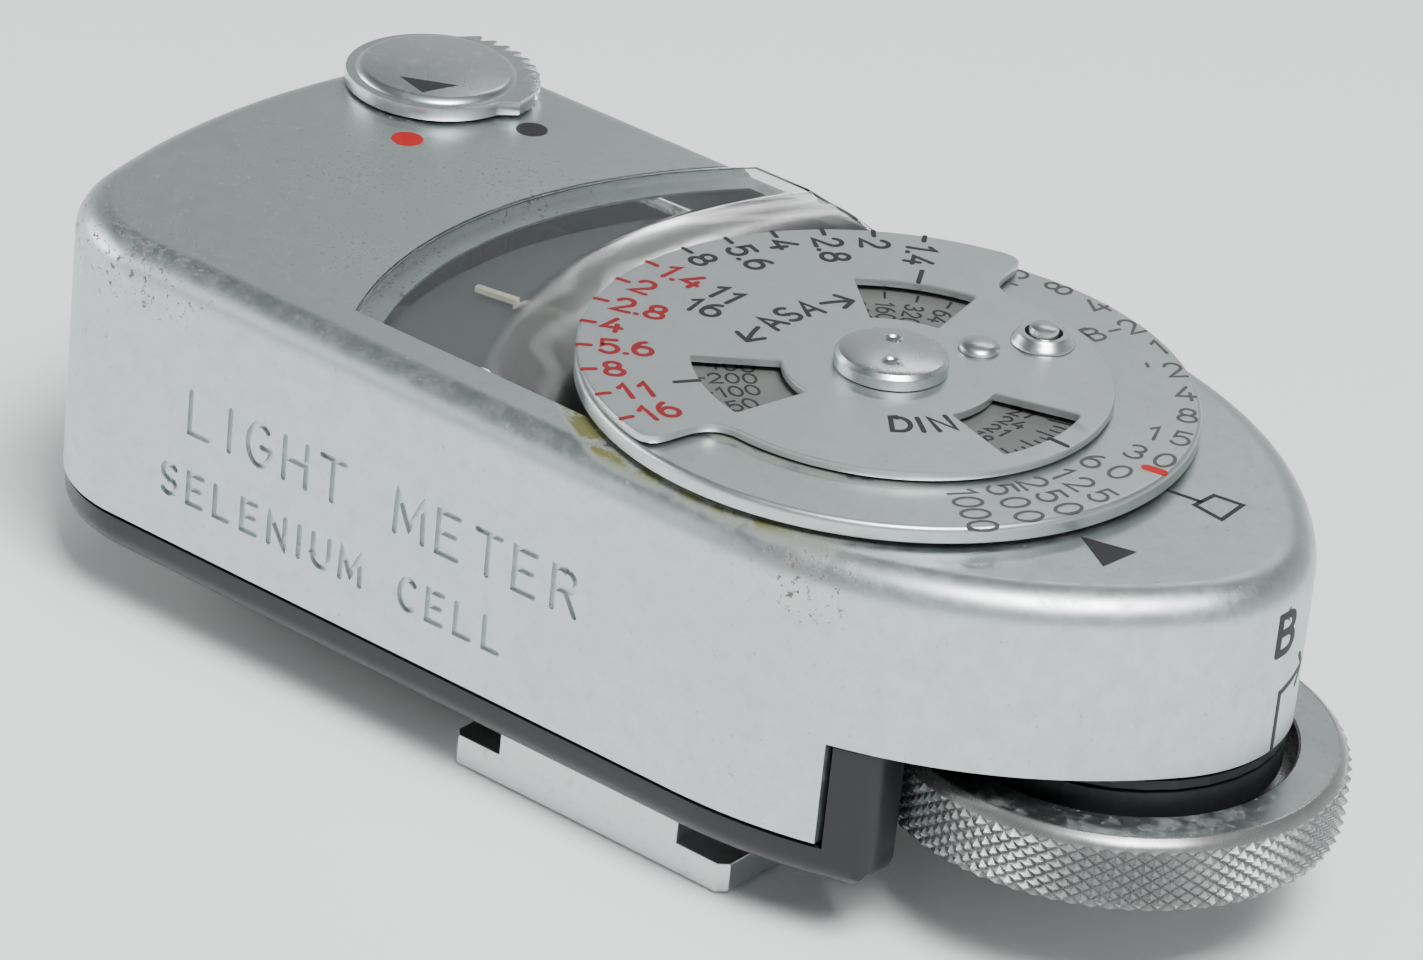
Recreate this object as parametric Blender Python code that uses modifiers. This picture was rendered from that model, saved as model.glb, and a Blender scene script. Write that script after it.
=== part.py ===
"""Clip-on selenium light meter with a knurled coupling wheel and two stacked dials.

Every piece hangs on one empty whose axis is the dial axis, with z measured up
from the underside of the accessory foot.  +X runs towards the rounded nose.
All sizes are in millimetres and turn into metres in the helper functions.
"""
from math import acos, atan2, cos, degrees, pi, radians, sin, sqrt

import bmesh
import bpy
from mathutils import Vector

MM = 0.001
CLEAR = 0.3

# Where the dial axis stands, seen from the middle of the foot.
DIAL_X = 5.3
DIAL_Y = 5.3

# Plan outline of the case.
HALF_WIDTH = 17.2
LEFT_END = 47.3
END_BULGE = 3.4
CORNER_R = 8.2
SIDE_ARC_X = 1.65
SIDE_ARC_R = 26.5
TIP_R = 9.0
WHEEL_X = SIDE_ARC_X + sqrt((SIDE_ARC_R - TIP_R) ** 2 - (SIDE_ARC_R - HALF_WIDTH) ** 2)

# Heights of the case.
TOP_Z = 22.0
ROOF = 1.2
ROOF_Z = TOP_Z - ROOF
WALL = 0.9
TOP_ROUND = 1.8
SHELL_Z = 6.0
NOSE_Z = 11.8
STEP_X = 10.0
BASE_Z = 3.6
BASE_FLOOR_Z = 5.7
BASE_STEP_X = 12.4
NOSE_FLOOR_Z = 12.8

# Accessory foot, the standard 18.6 mm wide shoe foot.
FOOT_WIDTH = 18.6
FOOT_LENGTH = 20.0
FOOT_THICK = 1.7
NECK_WIDTH = 12.1
FOOT_SCREWS = ((-3.5, -6.0), (3.5, -6.0), (-3.5, 6.0), (3.5, 6.0))

# Window for the needle.
WINDOW_R = 28.3
WINDOW_INNER_R = 14.8
WINDOW_NEAR_Y = -13.5
WINDOW_FAR_X = -8.0
WINDOW_DEPTH = 2.4

# Dials.
DISC_R = 16.3
DISC_LOW_Z = 22.3
DISC_TOP_Z = 23.25
TRAY_R = 11.3
TRAY_Z = 22.6
UPPER_R = 11.7
UPPER_LOW_Z = 23.45
UPPER_TOP_Z = 23.9
UPPER_HALF_ANGLE = 101.0
CUTOUT_IN_R = 5.7
CUTOUT_OUT_R = 10.4
CUTOUT_HALF_ANGLE = 18.5
BUTTON_R = 9.2
BUTTON_ANGLE = 67.5
RIVET_R = 5.5
RIVET_ANGLE = 70.6
SHAFT_R = 2.0

# Gear train between the wheel and the dial.
DIAL_TEETH = 30
IDLER_TEETH = 12
WHEEL_TEETH = 12
GEAR_MODULE = WHEEL_X / ((DIAL_TEETH + WHEEL_TEETH) / 2.0 + IDLER_TEETH)
GEAR_LOW_Z = 18.3
GEAR_TOP_Z = 19.3

# Coupling wheel.
WHEEL_R = 12.4
WHEEL_LOW_Z = 5.9
KNURL_TOP_Z = 9.4
WHEEL_TOP_Z = 9.9
WHEEL_RING_R = 9.5
POCKET_R = 13.2
POCKET_WALL = 1.2

# Range knob.
KNOB_X = -40.9
KNOB_Y = 11.1
KNOB_R = 5.1
KNOB_TOP_Z = 23.3
KNOB_LUG_R = 5.8
KNOB_LUG_ANGLE = 4.0
KNOB_TEETH_ANGLE = 24.0
KNOB_TEETH = 9
KNOB_TOOTH_PITCH = 9.5

# Meter movement beside the wheel pocket, its needle under the window.
MOVEMENT_X = -11.2
MOVEMENT_Y = -1.0
MAGNET_Z = 7.0
MAGNET_TOP_Z = 12.4
NEEDLE_ANGLE = 190.0
NEEDLE_Z = 19.6
NEEDLE_LENGTH = 14.0
NEEDLE_WIDTH = 0.42

# Zero-adjust screw in the floor.
ZERO_X = -24.0
ZERO_Y = -8.0

# Light cell behind the far wall.
CELL_X = -19.5
CELL_WIDTH = 35.0
CELL_Z = 12.6
CELL_HEIGHT = 10.4


# ---------------------------------------------------------------- scene and materials
def clear_scene():
    for old in list(bpy.data.objects):
        bpy.data.objects.remove(old, do_unlink=True)


def new_collection(name):
    group = bpy.data.collections.new(name)
    bpy.context.scene.collection.children.link(group)
    return group


def material(name, colour, roughness, metallic):
    surface = bpy.data.materials.new(name)
    surface.use_nodes = True
    shader = surface.node_tree.nodes["Principled BSDF"]
    shader.inputs["Base Color"].default_value = (*colour, 1.0)
    shader.inputs["Roughness"].default_value = roughness
    shader.inputs["Metallic"].default_value = metallic
    return surface


clear_scene()
PARTS = new_collection("selenium_light_meter")
CUTTERS = new_collection("cutters")
METER = bpy.data.objects.new("dial_axis", None)
METER.location = (DIAL_X * MM, DIAL_Y * MM, 0.0)
PARTS.objects.link(METER)

SATIN = material("satin_chrome", (0.42, 0.44, 0.44), 0.38, 1.0)
POLISHED = material("polished_chrome", (0.62, 0.64, 0.64), 0.16, 1.0)
BLACK = material("black_enamel", (0.05, 0.055, 0.055), 0.5, 0.0)
BRASS = material("brass", (0.62, 0.46, 0.2), 0.35, 1.0)
STEEL = material("steel", (0.5, 0.5, 0.5), 0.35, 1.0)
MAGNET = material("magnet_steel", (0.16, 0.16, 0.17), 0.45, 1.0)
CLEAR_PLASTIC = material("clear_plastic", (0.75, 0.8, 0.78), 0.08, 0.0)
SCALE_GREY = material("scale_grey", (0.12, 0.13, 0.13), 0.6, 0.0)
CREAM = material("needle_cream", (0.75, 0.7, 0.52), 0.5, 0.0)
CELL_DARK = material("selenium_dark", (0.09, 0.07, 0.08), 0.4, 0.3)
BOARD = material("brown_board", (0.3, 0.18, 0.09), 0.6, 0.0)
COPPER = material("copper_wire", (0.6, 0.28, 0.16), 0.35, 1.0)


# ---------------------------------------------------------------- outline helpers
def arc(centre_x, centre_y, radius, start, end, count):
    """Points on an arc, angles in degrees, both ends included."""
    step = (end - start) / (count - 1)
    angles = [radians(start + step * index) for index in range(count)]
    return [(centre_x + radius * cos(a), centre_y + radius * sin(a)) for a in angles]


def circle(centre_x, centre_y, radius, count=32):
    return arc(centre_x, centre_y, radius, 0.0, 360.0 - 360.0 / count, count)


def rectangle(low_x, high_x, low_y, high_y):
    return [(low_x, low_y), (high_x, low_y), (high_x, high_y), (low_x, high_y)]


def case_outline(inset=0.0):
    """Case plan, moved inwards by inset: flat sides, bulged left end, rounded nose."""
    side_y = SIDE_ARC_R - HALF_WIDTH
    meet = degrees(atan2(-side_y, WHEEL_X - SIDE_ARC_X))
    end_r = (HALF_WIDTH ** 2 + END_BULGE ** 2) / (2.0 * END_BULGE)
    end_x = end_r - LEFT_END
    corner_y = HALF_WIDTH - CORNER_R
    corner_x = end_x - sqrt((end_r - CORNER_R) ** 2 - corner_y ** 2)
    turn = degrees(atan2(corner_y, corner_x - end_x))
    near = arc(SIDE_ARC_X, side_y, SIDE_ARC_R - inset, -90.0, meet, 10)
    tip = arc(WHEEL_X, 0.0, TIP_R - inset, meet, -meet, 13)[1:-1]
    corner = arc(corner_x, corner_y, CORNER_R - inset, 90.0, turn, 8)
    end = arc(end_x, 0.0, end_r - inset, turn, 360.0 - turn, 9)[1:-1]
    mirrored_near = [(x, -y) for x, y in reversed(near)]
    mirrored_corner = [(x, -y) for x, y in reversed(corner)]
    return near + tip + mirrored_near + corner + end + mirrored_corner


def window_outline(gap=0.0):
    """Needle window: concentric with the dial, open to the far side of the case."""
    outer = WINDOW_R - gap
    inner = WINDOW_INNER_R + gap
    far_y = HALF_WIDTH + 1.0
    near_y = WINDOW_NEAR_Y + gap
    far_x = WINDOW_FAR_X - gap
    start = degrees(pi - atan2(HALF_WIDTH, sqrt(outer ** 2 - HALF_WIDTH ** 2)))
    end = 180.0 + degrees(atan2(-near_y, sqrt(outer ** 2 - near_y ** 2)))
    outside = arc(0.0, 0.0, outer, start, end, 18)
    hole_start = 180.0 + degrees(atan2(-near_y, sqrt(inner ** 2 - near_y ** 2)))
    hole_end = 180.0 - degrees(acos(-far_x / inner))
    inside = arc(0.0, 0.0, inner, hole_start, hole_end, 16)
    return outside + inside + [(far_x, far_y), (outside[0][0], far_y)]


def sector(centre_angle, half_angle, inner, outer, count=7):
    low = centre_angle - half_angle
    high = centre_angle + half_angle
    return arc(0.0, 0.0, outer, low, high, count) + arc(0.0, 0.0, inner, high, low, count)


def gear_outline(teeth, bore):
    """Straight-flanked teeth, thin enough to run with play, and the bore as a second loop."""
    pitch = GEAR_MODULE * teeth / 2.0
    tip = pitch + 0.8 * GEAR_MODULE
    root = pitch - 1.25 * GEAR_MODULE
    pitch_angle = 360.0 / teeth
    points = []
    for tooth in range(teeth):
        middle = tooth * pitch_angle
        for radius, share in ((root, -0.26), (tip, -0.1), (tip, 0.1), (root, 0.26)):
            angle = radians(middle + share * pitch_angle)
            points.append((radius * cos(angle), radius * sin(angle)))
    return [points, circle(0.0, 0.0, bore, 16)]


# ---------------------------------------------------------------- solid helpers
def adopt(piece, surface, x=0.0, y=0.0, group=None):
    """Hang a piece on the meter's empty at x, y and give it its material."""
    (group or PARTS).objects.link(piece)
    piece.parent = METER
    piece.location = (x * MM, y * MM, 0.0)
    piece.data.materials.append(surface)
    return piece


def mesh_from_loops(name, loops, low, high):
    """A flat outline with holes, filled and given its thickness, as a closed mesh."""
    curve = bpy.data.curves.new(name + "_outline", "CURVE")
    curve.dimensions = "2D"
    curve.fill_mode = "BOTH"
    curve.extrude = (high - low) / 2.0 * MM
    for loop in loops:
        spline = curve.splines.new("POLY")
        spline.points.add(len(loop) - 1)
        for point, (x, y) in zip(spline.points, loop):
            point.co = (x * MM, y * MM, 0.0, 1.0)
        spline.use_cyclic_u = True
    guide = bpy.data.objects.new(name + "_outline", curve)
    PARTS.objects.link(guide)
    depsgraph = bpy.context.evaluated_depsgraph_get()
    mesh = bpy.data.meshes.new_from_object(guide.evaluated_get(depsgraph))
    bpy.data.objects.remove(guide, do_unlink=True)
    mesh.name = name
    solid = bmesh.new()
    solid.from_mesh(mesh)
    bmesh.ops.remove_doubles(solid, verts=solid.verts, dist=1e-7)
    bmesh.ops.dissolve_limit(solid, angle_limit=0.002, verts=solid.verts, edges=solid.edges)
    bmesh.ops.translate(solid, verts=solid.verts, vec=(0.0, 0.0, (low + high) / 2.0 * MM))
    bmesh.ops.recalc_face_normals(solid, faces=solid.faces)
    solid.to_mesh(mesh)
    solid.free()
    mesh.materials.clear()
    return mesh


def plate(name, loops, low, high, surface, x=0.0, y=0.0):
    mesh = mesh_from_loops(name, loops, low, high)
    return adopt(bpy.data.objects.new(name, mesh), surface, x, y)


def turned(name, profile, surface, x=0.0, y=0.0, steps=32):
    """A profile of (radius, height) pairs, outer side top to bottom, spun about its axis."""
    mesh = bpy.data.meshes.new(name)
    points = [(radius * MM, 0.0, height * MM) for radius, height in profile]
    edges = [(index, index + 1) for index in range(len(points) - 1)]
    if profile[0][0] > 0.0:
        edges.append((len(points) - 1, 0))
    mesh.from_pydata(points, edges, [])
    piece = adopt(bpy.data.objects.new(name, mesh), surface, x, y)
    spin = piece.modifiers.new("spin", "SCREW")
    spin.axis = "Z"
    spin.angle = 2.0 * pi
    spin.steps = steps
    spin.render_steps = steps
    spin.use_merge_vertices = True
    spin.merge_threshold = 0.000001
    spin.use_smooth_shade = False
    return piece


def pin(name, radius, low, high, surface, x=0.0, y=0.0, steps=16):
    return turned(name, [(0.0, high), (radius, high), (radius, low), (0.0, low)], surface, x, y, steps)


def ring(name, inner, outer, low, high, surface, x=0.0, y=0.0, steps=32):
    profile = [(inner, high), (outer, high), (outer, low), (inner, low)]
    return turned(name, profile, surface, x, y, steps)


def box(name, low_x, high_x, low_y, high_y, low, high, surface):
    mesh = bpy.data.meshes.new(name)
    solid = bmesh.new()
    bmesh.ops.create_cube(solid, size=1.0)
    size = Vector((high_x - low_x, high_y - low_y, high - low)) * MM
    middle = Vector((high_x + low_x, high_y + low_y, high + low)) * (MM / 2.0)
    bmesh.ops.scale(solid, verts=solid.verts, vec=size)
    bmesh.ops.translate(solid, verts=solid.verts, vec=middle)
    solid.to_mesh(mesh)
    solid.free()
    return adopt(bpy.data.objects.new(name, mesh), surface)


def bevel_edges_at(piece, height, width, segments):
    """Round the edges that lie flat at one height."""
    mesh = piece.data
    weights = mesh.attributes.new("bevel_weight_edge", "FLOAT", "EDGE")
    for edge in mesh.edges:
        heights = [mesh.vertices[index].co.z / MM for index in edge.vertices]
        is_rim = all(abs(z - height) < 0.001 for z in heights)
        weights.data[edge.index].value = 1.0 if is_rim else 0.0
    rounding = piece.modifiers.new("rounding", "BEVEL")
    rounding.limit_method = "WEIGHT"
    rounding.width = width * MM
    rounding.segments = segments
    return piece


def bevel_all(piece, width, segments=1, angle=40.0):
    rounding = piece.modifiers.new("rounding", "BEVEL")
    rounding.limit_method = "ANGLE"
    rounding.angle_limit = radians(angle)
    rounding.width = width * MM
    rounding.segments = segments
    return piece


def boolean(piece, tool, operation):
    for group in list(tool.users_collection):
        group.objects.unlink(tool)
    CUTTERS.objects.link(tool)
    tool.hide_render = True
    tool.display_type = "WIRE"
    step = piece.modifiers.new(operation.lower(), "BOOLEAN")
    step.operation = operation
    step.solver = "EXACT"
    step.object = tool
    return piece


def cut(piece, tool):
    return boolean(piece, tool, "DIFFERENCE")


def join(piece, tool):
    return boolean(piece, tool, "UNION")


def coil(name, radius, wire, low, high, turns, surface, x=0.0, y=0.0):
    """A helical spring as a poly spline with a round section, made a closed mesh."""
    per_turn = 12
    count = int(turns * per_turn) + 1
    curve = bpy.data.curves.new(name + "_wire", "CURVE")
    curve.dimensions = "3D"
    curve.bevel_depth = wire / 2.0 * MM
    curve.bevel_resolution = 2
    curve.use_fill_caps = True
    spline = curve.splines.new("POLY")
    spline.points.add(count - 1)
    for index, point in enumerate(spline.points):
        angle = 2.0 * pi * index / per_turn
        height = low + (high - low) * index / (count - 1)
        point.co = (radius * cos(angle) * MM, radius * sin(angle) * MM, height * MM, 1.0)
    guide = bpy.data.objects.new(name + "_wire", curve)
    PARTS.objects.link(guide)
    depsgraph = bpy.context.evaluated_depsgraph_get()
    mesh = bpy.data.meshes.new_from_object(guide.evaluated_get(depsgraph))
    bpy.data.objects.remove(guide, do_unlink=True)
    solid = bmesh.new()
    solid.from_mesh(mesh)
    bmesh.ops.remove_doubles(solid, verts=solid.verts, dist=1e-7)
    bmesh.ops.recalc_face_normals(solid, faces=solid.faces)
    solid.to_mesh(mesh)
    solid.free()
    mesh.materials.clear()
    return adopt(bpy.data.objects.new(name, mesh), surface, x, y)


def stepped_hole(name, bore, top, sink, sink_top, x, y):
    """Cutter for a screw: a narrow bore with a wide sink open at the bottom."""
    profile = [(0.0, top), (bore, top), (bore, sink_top), (sink, sink_top), (sink, -1.0), (0.0, -1.0)]
    return turned(name, profile, STEEL, x, y, 16)


def polar(radius, angle):
    return radius * cos(radians(angle)), radius * sin(radians(angle))


# ---------------------------------------------------------------- case
CASE_SCREWS = ((-41.0, -10.0), (-42.0, 0.5), (2.0, -13.2), (2.5, 12.6))


def build_shell():
    """Top shell: thin walls, a lower edge that steps up at the nose, screw posts inside."""
    shell = plate("top_shell", [case_outline()], SHELL_Z, TOP_Z, SATIN)
    bevel_edges_at(shell, TOP_Z, TOP_ROUND, 4)
    hollow = plate("shell_hollow", [case_outline(WALL)], SHELL_Z - 1.0, ROOF_Z, SATIN)
    cut(shell, hollow)
    reach = 60.0
    step = box("nose_step", STEP_X, reach, -reach, reach, SHELL_Z - 1.0, NOSE_Z, SATIN)
    cut(shell, step)
    for index, (x, y) in enumerate(CASE_SCREWS):
        join(shell, pin(f"post_{index}", 2.0, BASE_FLOOR_Z + 1.3, ROOF_Z + 0.4, SATIN, x, y, 12))
    for index, (x, y) in enumerate(CASE_SCREWS):
        cut(shell, pin(f"post_hole_{index}", 1.1, SHELL_Z, 13.0, SATIN, x, y, 12))
    cut(shell, plate("window_cut", [window_outline()], TOP_Z - WINDOW_DEPTH, TOP_Z + 1.0, SATIN))
    cut(shell, pin("bush_hole", 3.6, ROOF_Z - 1.0, TOP_Z + 1.0, SATIN, steps=24))
    cut(shell, pin("knob_hole", 1.9, ROOF_Z - 1.0, TOP_Z + 1.0, SATIN, KNOB_X, KNOB_Y))
    half = CELL_WIDTH / 2.0
    low = CELL_Z - CELL_HEIGHT / 2.0
    high = CELL_Z + CELL_HEIGHT / 2.0
    cell_cut = box("cell_cut", CELL_X - half, CELL_X + half, 14.0, 20.0, low, high, SATIN)
    cut(shell, cell_cut)
    return shell


def build_base():
    """Black base casting: floor slab, walls round the wheel pocket, floor of the nose."""
    edge = 0.2
    base = plate("base_plate", [case_outline(edge)], BASE_Z, BASE_FLOOR_Z, BLACK)
    bevel_edges_at(base, BASE_Z, 0.8, 2)
    reach = 60.0
    corner = plate("step_wall", [case_outline(edge + 0.02)], BASE_Z + 1.3, NOSE_Z - CLEAR, BLACK)
    cut(corner, box("step_low_x", -reach, STEP_X + CLEAR, -reach, reach, 0.0, 30.0, BLACK))
    join(base, corner)
    cut(base, box("base_end", BASE_STEP_X, reach, -reach, reach, 0.0, NOSE_Z - 0.1, BLACK))
    inner = WALL + CLEAR
    wall = plate("pocket_wall", [case_outline(inner)], BASE_FLOOR_Z - 0.5, NOSE_FLOOR_Z, BLACK)
    drum = pin("pocket_drum", POCKET_R + POCKET_WALL, 0.0, 30.0, BLACK, WHEEL_X, 0.0, 48)
    boolean(wall, drum, "INTERSECT")
    join(base, wall)
    cut(base, pin("wheel_pocket", POCKET_R, 0.0, NOSE_Z, BLACK, WHEEL_X, 0.0, 48))
    cut(base, pin("shaft_way", 2.6, 0.0, 20.0, BLACK, WHEEL_X, 0.0, 20))
    for index, (x, y) in enumerate(CASE_SCREWS):
        cut(base, stepped_hole(f"case_screw_way_{index}", 1.1, 8.0, 2.2, BASE_Z + 1.1, x, y))
    for index, (x, y) in enumerate(FOOT_SCREWS):
        cut(base, pin(f"foot_screw_way_{index}", 0.9, 0.0, 5.2, BLACK, x - DIAL_X, y - DIAL_Y, 12))
    cut(base, pin("zero_screw_way", 1.9, 0.0, 8.0, BLACK, ZERO_X, ZERO_Y, 16))
    return base


def build_case_screws():
    for index, (x, y) in enumerate(CASE_SCREWS):
        low = BASE_Z + 0.2
        profile = [(0.0, 12.5), (0.8, 12.5), (0.8, low + 0.7), (1.9, low + 0.7), (1.9, low), (0.0, low)]
        screw = turned(f"case_screw_{index + 1}", profile, STEEL, x, y, 16)
        cut(screw, box(f"case_slot_{index}", x - 3.0, x + 3.0, y - 0.2, y + 0.2, 0.0, low + 0.3, STEEL))


def build_foot():
    """Shoe foot: flat flange, narrower neck, four countersunk screw holes."""
    half_length = FOOT_LENGTH / 2.0
    half_width = FOOT_WIDTH / 2.0
    half_neck = NECK_WIDTH / 2.0
    low_y = -half_length - DIAL_Y
    high_y = half_length - DIAL_Y
    chamfer = 0.5
    left = -half_width - DIAL_X
    right = half_width - DIAL_X
    outline = [(left + chamfer, low_y), (right - chamfer, low_y), (right, low_y + chamfer)]
    outline += [(right, high_y - chamfer), (right - chamfer, high_y)]
    outline += [(left + chamfer, high_y), (left, high_y - chamfer), (left, low_y + chamfer)]
    foot = plate("accessory_foot", [outline], 0.0, FOOT_THICK, POLISHED)
    neck_low = -half_neck - DIAL_X
    neck_high = half_neck - DIAL_X
    neck_top = BASE_Z - CLEAR
    join(foot, box("neck", neck_low, neck_high, low_y + 0.05, high_y - 0.05, 1.0, neck_top, POLISHED))
    for index, (x, y) in enumerate(FOOT_SCREWS):
        spot_x = x - DIAL_X
        spot_y = y - DIAL_Y
        cut(foot, stepped_hole(f"foot_way_{index}", 0.9, 8.0, 1.9, 1.2, spot_x, spot_y))


def build_foot_screws():
    for index, (x, y) in enumerate(FOOT_SCREWS):
        profile = [(0.0, 5.0), (0.6, 5.0), (0.6, 0.9), (1.6, 0.9), (1.6, 0.2), (0.0, 0.2)]
        spot_x = x - DIAL_X
        spot_y = y - DIAL_Y
        screw = turned(f"foot_screw_{index + 1}", profile, STEEL, spot_x, spot_y, 16)
        low_y = spot_y - 0.2
        slot = box(f"foot_slot_{index}", spot_x - 3.0, spot_x + 3.0, low_y, low_y + 0.4, 0.0, 0.5, STEEL)
        cut(screw, slot)


def build_window():
    """Clear window with a shallow dished zone next to the dial, and the dark plate under it."""
    top = TOP_Z - 0.25
    low = TOP_Z - 1.4
    window = plate("meter_window", [window_outline(CLEAR)], low, top, CLEAR_PLASTIC)
    end_y = HALF_WIDTH - 0.2
    trim = box("window_far_trim", -60.0, 60.0, end_y, 60.0, 0.0, 40.0, CLEAR_PLASTIC)
    cut(window, trim)
    dish = [(0.0, top + 1.0), (21.5, top + 1.0), (21.5, top), (17.0, low + 0.45), (0.0, low + 0.45)]
    cut(window, turned("window_dish", dish, CLEAR_PLASTIC, steps=72))
    outer = arc(0.0, 0.0, WINDOW_R - 0.8, 148.0, 208.0, 16)
    inner = arc(0.0, 0.0, WINDOW_INNER_R + 0.6, 208.0, 148.0, 16)
    plate("scale_plate", [outer + inner], 18.7, 19.2, SCALE_GREY)


def build_cell():
    """Selenium cell, its clear honeycomb window, the frame and two contact springs."""
    half = CELL_WIDTH / 2.0
    low = CELL_Z - CELL_HEIGHT / 2.0
    high = CELL_Z + CELL_HEIGHT / 2.0
    left = CELL_X - half
    right = CELL_X + half
    gap = CLEAR
    window = box("cell_window", left + gap, right - gap, 15.2, 17.0, low + gap, high - gap, CLEAR_PLASTIC)
    bevel_all(window, 0.25)
    box("selenium_cell", left - 0.4, right + 0.4, 13.9, 14.6, low - 0.2, high + 0.2, CELL_DARK)
    frame = box("cell_frame", left - 1.6, right + 1.6, 12.2, 13.6, low - 0.6, high + 0.6, BLACK)
    cut(frame, box("frame_hole", left + 2.0, right - 2.0, 10.0, 15.0, low + 2.0, high - 2.0, BLACK))
    for index, x in enumerate((left + 0.9, right - 0.9)):
        box(f"contact_spring_{index + 1}", x - 0.7, x + 0.7, 11.6, 11.9, 7.4, high, BRASS)


# ---------------------------------------------------------------- dials
def build_bush():
    """Bearing bush in the roof, flange below the roof."""
    profile = [(2.3, 21.9), (3.3, 21.9), (3.3, 20.5), (4.6, 20.5), (4.6, 19.9), (2.3, 19.9)]
    turned("dial_bush", profile, BRASS)


def build_dial_shaft():
    """Shaft with a blind hole for the centre screw, and the gear that drives it."""
    low = 16.0
    top = 23.1
    profile = [(0.0, 18.6), (1.25, 18.6), (1.25, top), (SHAFT_R, top), (SHAFT_R, low), (0.0, low)]
    turned("dial_shaft", profile, STEEL)
    plate("dial_gear", gear_outline(DIAL_TEETH, 2.3), GEAR_LOW_Z, GEAR_TOP_Z, BRASS)


def build_shutter_disc():
    """Lower disc: polished chamfer, shallow tray for the film-speed disc."""
    profile = [(2.3, TRAY_Z), (TRAY_R, TRAY_Z), (TRAY_R, DISC_TOP_Z), (DISC_R - 0.35, DISC_TOP_Z)]
    profile += [(DISC_R, DISC_TOP_Z - 0.35), (DISC_R, DISC_LOW_Z), (2.3, DISC_LOW_Z)]
    turned("shutter_disc", profile, SATIN, steps=64)
    ring("film_speed_disc", 2.3, TRAY_R - 0.3, TRAY_Z + 0.2, TRAY_Z + 0.5, SATIN, steps=40)


def upper_outline():
    """Upper disc: full radius on the window side, smaller elsewhere, rounded shoulders."""
    tip_round = 1.2
    root_round = 1.6
    tip_turn = degrees(tip_round / DISC_R) * 1.1
    root_turn = degrees(root_round / UPPER_R) * 1.1
    points = arc(0.0, 0.0, DISC_R, UPPER_HALF_ANGLE + tip_turn, 360.0 - UPPER_HALF_ANGLE - tip_turn, 33)
    small_end = UPPER_HALF_ANGLE - root_turn
    shoulder = []
    for radius, angle in ((DISC_R - 0.3, UPPER_HALF_ANGLE + 0.8), (DISC_R - tip_round, UPPER_HALF_ANGLE)):
        shoulder.append(polar(radius, angle))
    for radius, angle in ((UPPER_R + 1.2, UPPER_HALF_ANGLE), (UPPER_R + 0.35, UPPER_HALF_ANGLE - 1.6)):
        shoulder.append(polar(radius, angle))
    near = [(x, -y) for x, y in shoulder]
    small = arc(0.0, 0.0, UPPER_R, -small_end, small_end, 33)
    return points + near + small + list(reversed(shoulder))


def build_aperture_disc():
    loops = [upper_outline()]
    for middle in (0.0, 120.0, 240.0):
        loops.append(sector(middle, CUTOUT_HALF_ANGLE, CUTOUT_IN_R, CUTOUT_OUT_R))
    loops.append(circle(0.0, 0.0, 1.3, 16))
    button_x, button_y = polar(BUTTON_R, BUTTON_ANGLE)
    rivet_x, rivet_y = polar(RIVET_R, RIVET_ANGLE)
    loops.append(circle(button_x, button_y, 1.1, 12))
    loops.append(circle(rivet_x, rivet_y, 0.8, 12))
    plate("aperture_disc", loops, UPPER_LOW_Z, UPPER_TOP_Z, SATIN)
    ring("button_collar", 1.05, 1.55, 24.05, 24.45, POLISHED, button_x, button_y, 20)
    pin("lock_button", 0.8, 23.55, 24.9, POLISHED, button_x, button_y, 16)
    profile = [(0.0, 24.35), (0.85, 24.35), (1.05, 24.25), (1.05, 24.05)]
    profile += [(0.5, 24.05), (0.5, 23.5), (0.0, 23.5)]
    turned("disc_rivet", profile, POLISHED, rivet_x, rivet_y, 20)


def build_centre_screw():
    top = 24.87
    profile = [(0.0, top), (2.6, top), (3.0, top - 0.35), (3.0, 24.1)]
    profile += [(0.95, 24.1), (0.95, 19.0), (0.0, 19.0)]
    screw = turned("centre_screw", profile, POLISHED)
    for index, angle in enumerate((125.0, 305.0)):
        x, y = polar(1.32, angle)
        cut(screw, pin(f"spanner_hole_{index}", 0.42, top - 0.45, top + 1.0, POLISHED, x, y, 12))


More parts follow.
